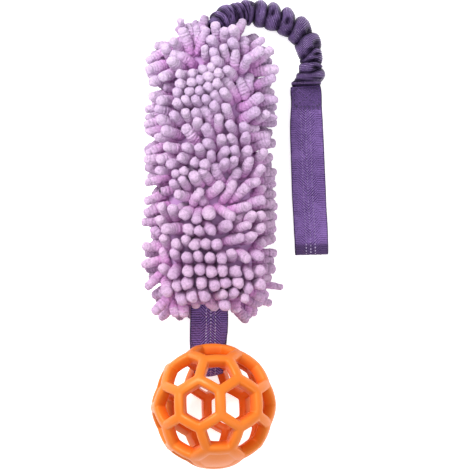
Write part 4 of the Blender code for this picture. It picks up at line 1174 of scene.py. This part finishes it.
def ball_strap():
    controls, wides, cups = [], [], []
    far = float(np.linalg.norm(reach))

    def add(x, w, width, cup):
        controls.append(rib_mid + strap_h * x + strap_n * w - (0.3 * min(1.0, max(0.0, (x - 12) / 10)), 0, 0))
        wides.append(width)
        cups.append(cup)

    root = ((MOP_X, MOP_Y - 70.0, MOP_Z + 0.9), (MOP_X - 0.4, MOP_Y - 82.0, MOP_Z + 0.8),
            (-17.2, MOP_Y - 93.0, MOP_Z + 0.7))
    for p in root:
        controls.append(np.array(p))
        wides.append(25.0)
        cups.append(0.0)
    for x, w, width, cup in ((far - 2, 0.95, 25.4, 0), (far * 0.75, 1.0, 25.4, 0), (19, 2.0, 25.2, 0), (12, 4.2, 24.6, 0.4),
                             (6, 5.7, 23, 0.8), (0, 6.1, 20, 1.0)):
        add(x, w, width, cup)
    for turn in (120, 150, 180, 210, 240):
        pinch = math.exp(-((turn - 180) / 30) ** 2)
        a = math.radians(turn)
        add(LOOP_R * math.cos(a), LOOP_R * math.sin(a), 20.0 - 4.5 * pinch, 1.0 + 3.6 * pinch)
    for x, w, width, cup in ((0, -6.1, 20, 1.2), (3.5, -6.0, 18, 2.6), (7.5, -5.0, 15.5, 4.2), (11.5, -3.3, 16, 3.4),
                             (15, -1.9, 20, 1.4), (20, -1.1, 24, 0.2), (far * 0.75, -0.9, 25.4, 0), (far - 2, -0.85, 25.4, 0)):
        add(x, w, width, cup)
    for p in root[::-1]:
        controls.append(np.array(p) - (0, 0, 1.7))
        wides.append(25.0)
        cups.append(0.0)
    path, at = smooth_route(controls, 0.55)
    marks_at = np.array([float(at[np.argmin(np.linalg.norm(path - c, axis=1))]) for c in controls])
    # The two plies pass close to each other, so stations are matched in order
    order = [0.0]
    rough = np.r_[0, np.cumsum(np.linalg.norm(np.diff(np.array(controls), axis=0), axis=1))]
    order = rough / rough[-1] * at[-1]
    width = np.interp(at, order, wides)
    cup = np.interp(at, order, cups)
    level = np.clip(((path - rib_mid) @ strap_h - 12) / 14, 0, 1)[:, None]
    across = unit(strap_a * (1 - level) + np.array((1.0, 0, 0)) * level)
    obj, length = ribbon("ball_strap", path, across, width, 1.45, cup=cup, ribs=0.16, step=2.0)
    return obj, length


# Hand loop: under ply, fold, over ply
down = np.array((HANDLE_X_FOOT - HANDLE_X_TOP, LOOP_FOOT - TAB_TOP, 0.0))
HANDLE_L = float(np.linalg.norm(down))
down = down / HANDLE_L
wide = np.array((-down[1], down[0], 0.0))
handle_top = np.array((HANDLE_X_TOP, TAB_TOP, 0.0))


def on_handle(t, z, x=0.0):
    return handle_top + down * t + wide * x + np.array((0.0, 0.0, z))


# The loop's sideways bow and its width, down the handle from its top
LOOP_BOW = ((0, 3.4, 7, 10, 17, 31, 79, 99, 112), (-0.55, -0.45, -0.15, -0.08, -0.4, -0.78, -0.7, -0.12, -0.05))
LOOP_WIDTH = ((0, 3, 5.5, 9.5, 14, 24, 31, 58, 72, 99, 106, 115),
              (19.8, 20.9, 21.1, 20.8, 20.9, 22.2, 22.5, 23.1, 23.2, 23.0, 22.7, 22.8))


def hand_loop():
    over = [(1.0, 5.3, 0), (4, 5.6, 0), (9, 5.6, 0), (14, 5.35, 0), (18, 5.2, 0), (23, 5.7, 0), (30, 6.7, 0), (38, 7.3, 0),
            (50, 7.4, 0), (65, 7.1, 0), (80, 7.3, 0), (92, 7.5, 0), (102, 7.3, 0)]
    turn = [(107.0, 6.9, 0), (110.6, 6.0, 0), (113.2, 4.7, 0), (114.9, 3.2, 0), (115.1, 1.9, 0), (114.0, 1.05, 0), (110.5, 0.85, 0)]
    under = [(104, 0.85, 0), (90, 0.85, 0.1), (75, 0.85, 0.15), (60, 0.85, 0.15), (45, 0.85, 0.1), (30, 0.85, 0),
             (20, 0.85, 0), (12, 0.85, 0), (5, 0.85, 0), (1.0, 0.85, 0)]
    controls = [on_handle(t, z, x + np.interp(t, *LOOP_BOW)) for t, z, x in over + turn + under]
    path, at = smooth_route(controls, 0.5)
    t = (path - handle_top) @ down
    width = np.interp(t, *LOOP_WIDTH) + 0.06 * np.sin(t / 5.0)

    def wave(run, x):
        return 0.16 * np.sin(run / 11.0 + 0.6) * (x / 11.0) ** 2 + 0.10 * np.sin(run / 6.3 + x * 0.15)

    return ribbon("handle_webbing", path, np.broadcast_to(wide, path.shape), width, 1.45, wave=wave, columns=28,
                  ribs=0.11, step=1.8)


def handle_box_thread():
    lines = box_lines(on_handle(8.8, 6.42), wide, down, 16.6, 12.4, (0, 0, 1))
    foot = [(on_handle(16.6, 6.1, -9.0), on_handle(16.6, 6.1, 9.0))]
    lines += [(list(f), (0, 0, 1)) for f in foot]
    under = box_lines(on_handle(8.2, 0.10), wide, down, 17.0, 12.6, (0, 0, -1))
    return stitches("handle_box_thread", lines + under, pitch=2.7, length=2.0, radius=0.33)


# ---------------------------------------------------------------- bungee

# The gathered sleeve hangs a little inside the bend's middle line: route
# length and shift, in mm
SHIFT = ((-4, 0.8), (0, 1.0), (4, 2.2), (10, 2.5), (15, 2.1), (20, 1.6), (26, 0.8), (33, 0.2), (45, 0.5),
         (65, 0.6), (80, 0.3), (95, 0.0), (110, 0.0))
route, route_at = smooth_route(ROUTE, 0.25)
ROUTE_L = float(route_at[-1])
_, route_up, route_side = frames_along(route)
route = route + route_side * np.array([table_at(s, SHIFT) for s in route_at])[:, None] * (1, 1, 0.2)
route_ahead, route_up, route_side = frames_along(route)


def on_route(s):
    """Point, tangent, up and side of the route at s, running straight on past its ends."""
    s = np.asarray(s, float)
    inside = np.clip(s, 0, ROUTE_L)

    def pick(a):
        return np.stack([np.interp(inside, route_at, a[:, k]) for k in range(3)], -1)

    p, a, u, w = pick(route), unit(pick(route_ahead)), unit(pick(route_up)), unit(pick(route_side))
    return p + a * (s - inside)[..., None], a, u, w


# Creases of the sleeve: place along the route, radius outside the bend, in
# front, inside the bend and behind, how far the outer end runs ahead, and how
# far the front lags
CREASES = (
    (-3.0, 4.9, 4.9, 4.9, 4.8, 0.0, 0.0), (1.8, 5.2, 5.4, 5.4, 5.0, 0.3, 0.0), (6.6, 5.0, 5.3, 6.4, 5.0, 0.2, 0.0),
    (19.3, 4.95, 4.95, 6.9, 5.0, -0.6, 0.0), (22.9, 6.8, 5.3, 7.0, 5.1, -0.8, 0.0), (26.8, 4.95, 4.9, 8.0, 5.1, -1.0, 0.0),
    (34.7, 7.2, 4.9, 5.4, 5.1, 0.0, 0.4), (43.9, 4.95, 4.9, 8.7, 5.1, -0.6, -0.4), (53.9, 4.9, 4.9, 8.3, 5.1, -1.4, -0.6),
    (64.1, 4.9, 4.9, 7.5, 5.1, -2.0, -1.1), (75.0, 7.0, 5.0, 7.9, 5.1, 0.0, -1.4), (87.2, 8.2, 4.9, 7.4, 5.1, -2.0, -3.6),
    (93.3, 6.4, 5.0, 6.5, 5.1, 1.4, -1.5), (97.2, 7.0, 5.2, 8.9, 5.1, -1.9, -0.3), (104.2, 7.5, 4.9, 12.1, 4.6, 0.0, 0.0),
)
# Folds between them: radius outside, in front, inside and behind, twist, and
# where the crest lies between the creases
FOLDS = (
    (5.6, 6.0, 6.0, 5.6, 0.0, 0.5), (6.8, 7.2, 7.6, 6.4, 0.4, 0.5), (7.7, 8.6, 7.6, 7.8, -0.3, 0.42),
    (7.7, 8.4, 7.8, 7.8, 0.2, 0.45), (7.5, 8.2, 8.7, 7.8, 0.2, 0.5), (8.7, 8.9, 9.4, 8.0, 0.2, 0.4),
    (9.4, 9.3, 9.8, 8.3, 0.3, 0.5), (10.7, 9.7, 9.1, 8.4, 0.0, 0.40), (10.9, 9.9, 8.9, 8.5, 0.0, 0.36),
    (11.1, 9.8, 8.3, 8.5, 0.0, 0.36), (10.8, 9.6, 8.9, 8.5, 0.0, 0.42), (7.4, 8.6, 7.6, 7.8, 0.0, 0.4),
    (7.4, 8.4, 9.3, 7.8, 0.0, 0.45), (9.9, 9.2, 10.6, 8.0, 0.0, 0.45),
)
# Tucks, dents with shade painted dark into them: place, angle from the front towards the inside, depth, size
TUCKS = (
    (11.8, 0.10, 1.5, 0.8, 0.35), (9.6, 0.65, 1.3, 0.8, 0.25), (15.9, 0.45, 1.6, 0.8, 0.50), (24.6, 0.55, 1.5, 0.6, 0.45),
    (29.4, 0.35, 1.3, 0.6, 0.45), (32.3, -0.25, 2.6, 1.4, 0.38), (37.6, 0.55, 0.9, 0.8, 0.3), (40.5, -0.55, 0.8, 0.8, 0.3),
    (47.7, 0.36, 2.0, 1.5, 0.26), (51.0, -0.40, 0.7, 0.9, 0.35), (58.5, 0.50, 2.2, 1.7, 0.30), (61.0, -0.35, 0.8, 0.9, 0.35),
    (72.0, -0.42, 1.5, 1.4, 0.42), (80.6, -0.28, 2.2, 1.8, 0.42), (83.2, 0.55, 1.5, 1.3, 0.40), (87.0, -0.06, 3.0, 1.2, 0.46),
    (90.4, 0.30, 1.6, 0.6, 0.45), (95.0, 0.20, 2.2, 1.0, 0.40), (101.8, 0.10, 1.3, 0.8, 0.70),
)


def round_bend(row, theta):
    """Radius at an angle from values outside, in front, inside and behind."""
    out, front, ins, back = row
    c, s = np.cos(theta), np.sin(theta)
    return c * c * np.where(c > 0, front, back) + s * s * np.where(s > 0, ins, out)


def sleeve(name, first, last, rings_each=46, sides=90, tail=()):
    """Gathered sleeve from crease first up to last."""
    theta = np.linspace(0, 2 * math.pi, sides, endpoint=False)
    turn = (theta + math.pi) % (2 * math.pi) - math.pi
    rows, crown_shade, runs = [], [], []
    fabric = 0.0
    gen = np.random.default_rng(5)
    dice = gen.uniform(0, 2 * math.pi, (len(CREASES), 6))
    for i in range(first, last):
        low, up_, fold = CREASES[i], CREASES[i + 1], FOLDS[i]
        d0, d1 = dice[i], dice[i + 1]
        r_low = round_bend(low[1:5], theta)
        r_up = round_bend(up_[1:5], theta)
        r_top = round_bend(fold[:4], theta)
        length = up_[0] - low[0]

        def line(row, d):
            return (row[0] - row[5] * np.sin(theta) + row[6] * np.clip(np.cos(theta), 0, 1) ** 1.5
                    + 0.28 * np.sin(2 * theta + d[0]) + 0.2 * np.sin(3 * theta + d[1]) + 0.12 * np.sin(5 * theta + d[2]))

        a, b = line(low, d0), line(up_, d1)
        for k in range(rings_each + (i == last - 1)):
            f = k / rings_each
            phi = math.pi * f ** (math.log(0.5) / math.log(fold[5]))
            bulge = math.sin(phi)
            over = 0.6 * f + 0.4 * (0.5 - math.cos(math.pi * f) / 2)
            s = a + (b - a) * over + 0.5 * fold[4] * np.sin(theta + d0[3]) * bulge
            base = r_low + (r_up - r_low) * ease(f)
            crown = bulge ** 0.78
            r = base + (np.maximum(r_top, base) - base) * crown
            r = r * (1 + 0.025 * np.sin(2 * theta + d0[4]) * bulge + 0.02 * np.sin(3 * theta + d0[5]) * bulge)
            # Pleats run from the creases up the flanks
            pleat = (0.6 * np.sin(13 * theta + d0[0] * 3 + 1.2 * math.sin(phi * 2)) + 0.5 * np.sin(8 * theta + d0[3])
                     + 0.4 * np.sin(19 * theta + d1[2]))
            r = r + 0.34 * pleat * (1 - bulge) ** 0.6 * bulge ** 0.3
            # Painted shade in the tucks' hollows, taken off the crown mark.
            dark = np.zeros(sides)
            for at, angle, depth, long, broad in TUCKS:
                near = np.exp(-((s - at) / long) ** 2 - (((turn - angle + math.pi) % (2 * math.pi) - math.pi) / broad) ** 2)
                r = r - depth * near
                dark = np.maximum(dark, near * min(1.0, depth / 2))
            # Fine ribs of the weave, parallel to the crest
            here = fabric + (length + 6.0) * f
            r = r + 0.13 * bulge ** 0.5 * np.sin(2 * math.pi * (here + 0.3 * np.sin(3 * theta)) / 1.45)
            r = np.maximum(r, 4.82 + 0.05 * np.sin(7 * theta))
            p, ahead, up, side = on_route(s)
            point = p + (np.cos(theta)[:, None] * up + np.sin(theta)[:, None] * side) * r[:, None]
            point[:, 2] = np.maximum(point[:, 2], 0.15 + 0.05 * np.sin(theta * 5))
            rows.append(point)
            # Painted shade for the material: low in the creases and in the tucks' hollows, high on the crests.
            crown_shade.append(np.clip(bulge ** 0.7 * (1 - 0.85 * dark), 0, 1))
            runs.append(np.full(sides, here))
        fabric += length + 6.0
    for ring, crown in tail:
        rows.append(ring(theta))
        fabric += 1.0
        crown_shade.append(np.full(sides, crown))
        runs.append(np.full(sides, fabric))
    # Lining: the edge turns in and a wall runs back along the bore. The root's
    # end is closed.
    inner, closed = [], first == 0
    if not tail:
        for s in np.linspace(CREASES[last][0], CREASES[first][0] + (1.3 if closed else 0), 50):
            p, ahead, up, side = on_route(np.full(sides, s))
            inner.append(p + (np.cos(theta)[:, None] * up + np.sin(theta)[:, None] * side) * 4.62)
    outer = np.array(rows)
    points = outer.reshape(-1, 3)
    marks = np.stack([np.array(runs), np.array(crown_shade), np.broadcast_to(theta, outer.shape[:2])], -1).reshape(-1, 3)
    quads = [grid_quads(len(rows), sides)]
    tris = []
    j = np.arange(sides)
    k = (j + 1) % sides
    if inner:
        base = len(points)
        lining = np.array(inner).reshape(-1, 3)
        points = np.concatenate([points, lining])
        # Painted shade: the lining inside the bore is given the creases' dark colour.
        marks = np.concatenate([marks, np.tile((0.0, 0.05, 0.0), (len(lining), 1))])
        quads.append(grid_quads(len(inner), sides, base=base))
        low, end = (len(rows) - 1) * sides, base + (len(inner) - 1) * sides
        quads.append(np.stack([low + j, low + k, base + k, base + j], -1))
        if closed:
            hub = len(points)
            points = np.concatenate([points, [outer[0].mean(0), lining[-sides:].mean(0)]])
            marks = np.concatenate([marks, [[0, 0.3, 0], [0, 0.05, 0]]])
            tris = np.concatenate([np.stack([k, j, np.full(sides, hub)], -1),
                                   np.stack([end + j, end + k, np.full(sides, hub + 1)], -1)])
        else:
            quads.append(np.stack([end + j, end + k, k, j], -1))
    else:
        base = len(points)
        points = np.concatenate([points, [points[:sides].mean(0), points[-sides:].mean(0)]])
        marks = np.concatenate([marks, [[0, 0, 0], [fabric, 0.4, 0]]])
        low = (len(rows) - 1) * sides
        tris = np.concatenate([np.stack([k, j, np.full(sides, base)], -1),
                               np.stack([low + j, low + k, np.full(sides, base + 1)], -1)])
    quads = np.concatenate(quads)
    volume = 0.0
    q = points[quads]
    for a, b, c in ((0, 1, 2), (0, 2, 3)):
        volume += np.einsum("ij,ij->i", q[:, a], np.cross(q[:, b], q[:, c])).sum()
    if volume < 0:
        quads = quads[:, ::-1]
        tris = tris[:, ::-1] if len(tris) else tris
    return mesh_object(name, points, quads, tris, {"gather": marks})


def hem_rings():
    """The sleeve's end, sewn flat between the handle's plies."""
    # The last column is painted shade: dark in the crease ring and where the hem goes flat between the plies, light on
    # its rolled edge.
    table = ((-1.9, 6.9, 19.8, 10.2, 0.05), (-1.5, 6.6, 20.3, 10.6, 0.95), (-0.9, 6.2, 20.4, 10.2, 1.0),
             (-0.3, 5.6, 20.3, 9.2, 0.95), (0.15, 5.1, 19.8, 7.4, 0.0), (0.7, 4.3, 19.2, 5.2, 0.0), (1.5, 3.15, 18.6, 2.7, 0.1),
             (6.0, 3.1, 18.6, 2.6, 0.3), (12.4, 3.1, 18.4, 2.4, 0.3))
    out = []
    for row, (t, z, w, h, crown) in enumerate(table):
        def ring(theta, t=t, z=z, w=w, h=h, row=row):
            x, y = np.sin(theta), np.cos(theta)
            ripple = 0.16 * np.sin(9 * theta + 1) * (row < 4)
            px = w / 2 * np.sign(x) * np.abs(x) ** 0.75
            pz = (h / 2 + ripple) * np.sign(y) * np.abs(y) ** 0.7
            return on_handle(t, z) + wide * px[:, None] * HEM_TURN + np.array((0, 0, 1.0)) * pz[:, None]
        out.append((ring, crown))
    return out


HEM_TURN = 1.0 if float(route_side[-1] @ wide) > 0 else -1.0


def core_tube():
    path = on_route(np.linspace(CREASES[0][0] + 1.6, ROUTE_L - 0.3, 69))[0]
    ahead, up, side = frames_along(path)
    theta = np.linspace(0, 2 * math.pi, 24, endpoint=False)
    r = 4.5 + 0.04 * np.sin(np.arange(len(path)) * 2.1)[:, None]
    ring = path[:, None] + r[..., None] * (up[:, None] * np.cos(theta)[None, :, None]
                                            + side[:, None] * np.sin(theta)[None, :, None])
    points = ring.reshape(-1, 3)
    base = len(points)
    points = np.concatenate([points, [path[0], path[-1]]])
    j = np.arange(24)
    k = (j + 1) % 24
    quads = grid_quads(len(path), 24)
    tris = np.concatenate([np.stack([k, j, np.full(24, base)], -1),
                           np.stack([base - 24 + j, base - 24 + k, np.full(24, base + 1)], -1)])
    q = points[quads]
    volume = np.einsum("ij,ij->i", q[:, 0], np.cross(q[:, 1], q[:, 2])).sum()
    if volume < 0:
        quads, tris = quads[:, ::-1], tris[:, ::-1]
    return mesh_object("elastic_core", points, quads, tris), path


def hem_thread():
    rows = []
    for t, z in ((0.25, 8.85), (-1.9, 12.0)):
        xs = np.linspace(-8.2, 8.2, 18)
        zz = z - (np.abs(xs) / 9.6) ** 4 * 2.6
        rows.append(([on_handle(t, h, x) for x, h in zip(xs, zz)], (0, 0.35, 1)))
    return stitches("hem_thread", rows, pitch=2.0, length=1.5, radius=0.24)
# ---------------------------------------------------------------- stage

def stage():
    floor = bpy.data.meshes.new("floor")
    floor.from_pydata([(-4, -4, -0.0006), (4, -4, -0.0006), (4, 4, -0.0006), (-4, 4, -0.0006)], [],
                      [(0, 1, 2, 3)])
    ground = bpy.data.objects.new("floor", floor)
    bpy.context.scene.collection.objects.link(ground)
    p = Paint("pale_floor", roughness=1.0, specular=0.0)
    tone = p.noise(p.spot(), 3, 1)
    p.shader.inputs["Emission Color"].default_value = (1, 1, 1, 1)
    p.shader.inputs["Emission Strength"].default_value = 0.6
    ground.data.materials.append(p.finish(p.mix(tone, (0.93, 0.93, 0.93, 1), (0.95, 0.95, 0.95, 1))))

    camera = bpy.data.cameras.new("camera")
    camera.sensor_width = 36
    camera.lens = 168.4
    camera.clip_start, camera.clip_end = 0.05, 20
    eye = bpy.data.objects.new("camera", camera)
    eye.location = place((0, 0, CAMERA_Z))
    bpy.context.scene.collection.objects.link(eye)
    bpy.context.scene.camera = eye

    def soft(name, at, size, power, tint=(1, 1, 1)):
        lamp = bpy.data.lights.new(name, "AREA")
        lamp.shape, lamp.size, lamp.energy, lamp.color = "DISK", size, power, tint
        obj = bpy.data.objects.new(name, lamp)
        obj.location = at
        obj.rotation_euler = (-Vector(at)).to_track_quat("-Z", "Y").to_euler()
        bpy.context.scene.collection.objects.link(obj)

    soft("key", (-0.75, 0.85, 1.15), 0.75, 26)
    soft("fill", (0.9, -0.7, 1.0), 1.0, 6)
    soft("top", (0.0, 0.1, 1.5), 0.9, 6)
    world = bpy.data.worlds.new("pale")
    world.use_nodes = True
    world.node_tree.nodes["Background"].inputs[0].default_value = (1, 1, 1, 1)
    world.node_tree.nodes["Background"].inputs[1].default_value = 0.5
    bpy.context.scene.world = world
    bpy.context.scene.view_settings.view_transform = "Standard"


# ---------------------------------------------------------------- pieces

def cad_finish(node, mat):
    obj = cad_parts[node]
    for slot in obj.material_slots:
        slot.material = mat


plush = chenille()
cloth = backing_cloth()
handle_cloth = webbing_cloth("handle_tape", (40, 20, 66), (88, 62, 122), (138, 106, 172), -0.6, (3.05, 2.3, (206, 190, 226), 0.25), 16.0,
                             pitch_mm=1.8, crisp=0.4, fold=114.5)
strap_cloth = webbing_cloth("strap_tape", (20, 6, 42), (80, 52, 118), (146, 114, 190), 1.1, (3.05, 2.3, (216, 204, 232), 0.9), -9.0,
                           pitch_mm=2.0, crisp=0.62, wear=(0.9, 1.3))
satin = gathered_satin()
thread = sewing_thread("sewing_thread", (46, 28, 68), (76, 54, 104))

for pile in finger_meshes():
    dress(pile, plush)
    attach(pile, "mop")
cover = dress(core_cover(), cloth)
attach(cover, "mop")
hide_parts("backing_panel_front", "backing_panel_back", "side_seam_left", "side_seam_right",
            "chenille_pile_front", "chenille_pile_back")

toy_ball = dress(lattice_ball(), moulded_rubber())
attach(toy_ball, "ball")
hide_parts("lattice_ball")

strap, strap_length = ball_strap()
dress(strap, strap_cloth)
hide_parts("ball_strap_root", "ball_strap_loop")
place((-17.0, -51.0, 26.4))
place((-17.0, -61.5, 25.4))
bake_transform(strap)

loop, loop_length = hand_loop()
dress(loop, handle_cloth)
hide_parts("handle_tab_under", "handle_tab_over", "handle_loop")
place(on_handle(12.5, 3))
place(on_handle(21.5, 3))
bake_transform(loop)
box = dress(handle_box_thread(), thread)
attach(box, "handle_tab")
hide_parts("handle_box_stitch")

elastic, core_path = core_tube()
dress(elastic, latex())
main = dress(sleeve("bungee_gathers_main", 0, 10), satin)
leg = dress(sleeve("bungee_gathers_leg", 10, 14, tail=hem_rings()), satin)
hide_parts("bungee_sleeve_root")
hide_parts("bungee_sleeve_leg", "sleeve_end")
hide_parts("elastic_core_root", "elastic_core_leg")
bend = np.array(BEND_PIVOT)
lead = np.array((0.68, -0.73, 0.0)) * 11
for piece in (main, elastic):
    place(bend - lead)
    place(bend + lead)
    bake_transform(piece)
place(on_route(78.0)[0])
place(on_handle(-1.0, 6))
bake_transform(leg)
hem = dress(hem_thread(), thread)
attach(hem, "handle_tab")
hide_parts("sleeve_hem_stitch")
place(ROUTE[0])
[place(p) for p in core_path]

inside = loose_fibre()
for word in ("front", "back"):
    cad_finish(f"fibre_filling_{word}", inside)
cad_finish("load_webbing", strap_cloth)
cad_finish("bungee_root_tape", satin)
for node in ("foot_box_stitch", "head_box_stitch"):
    cad_finish(node, thread)

stage()
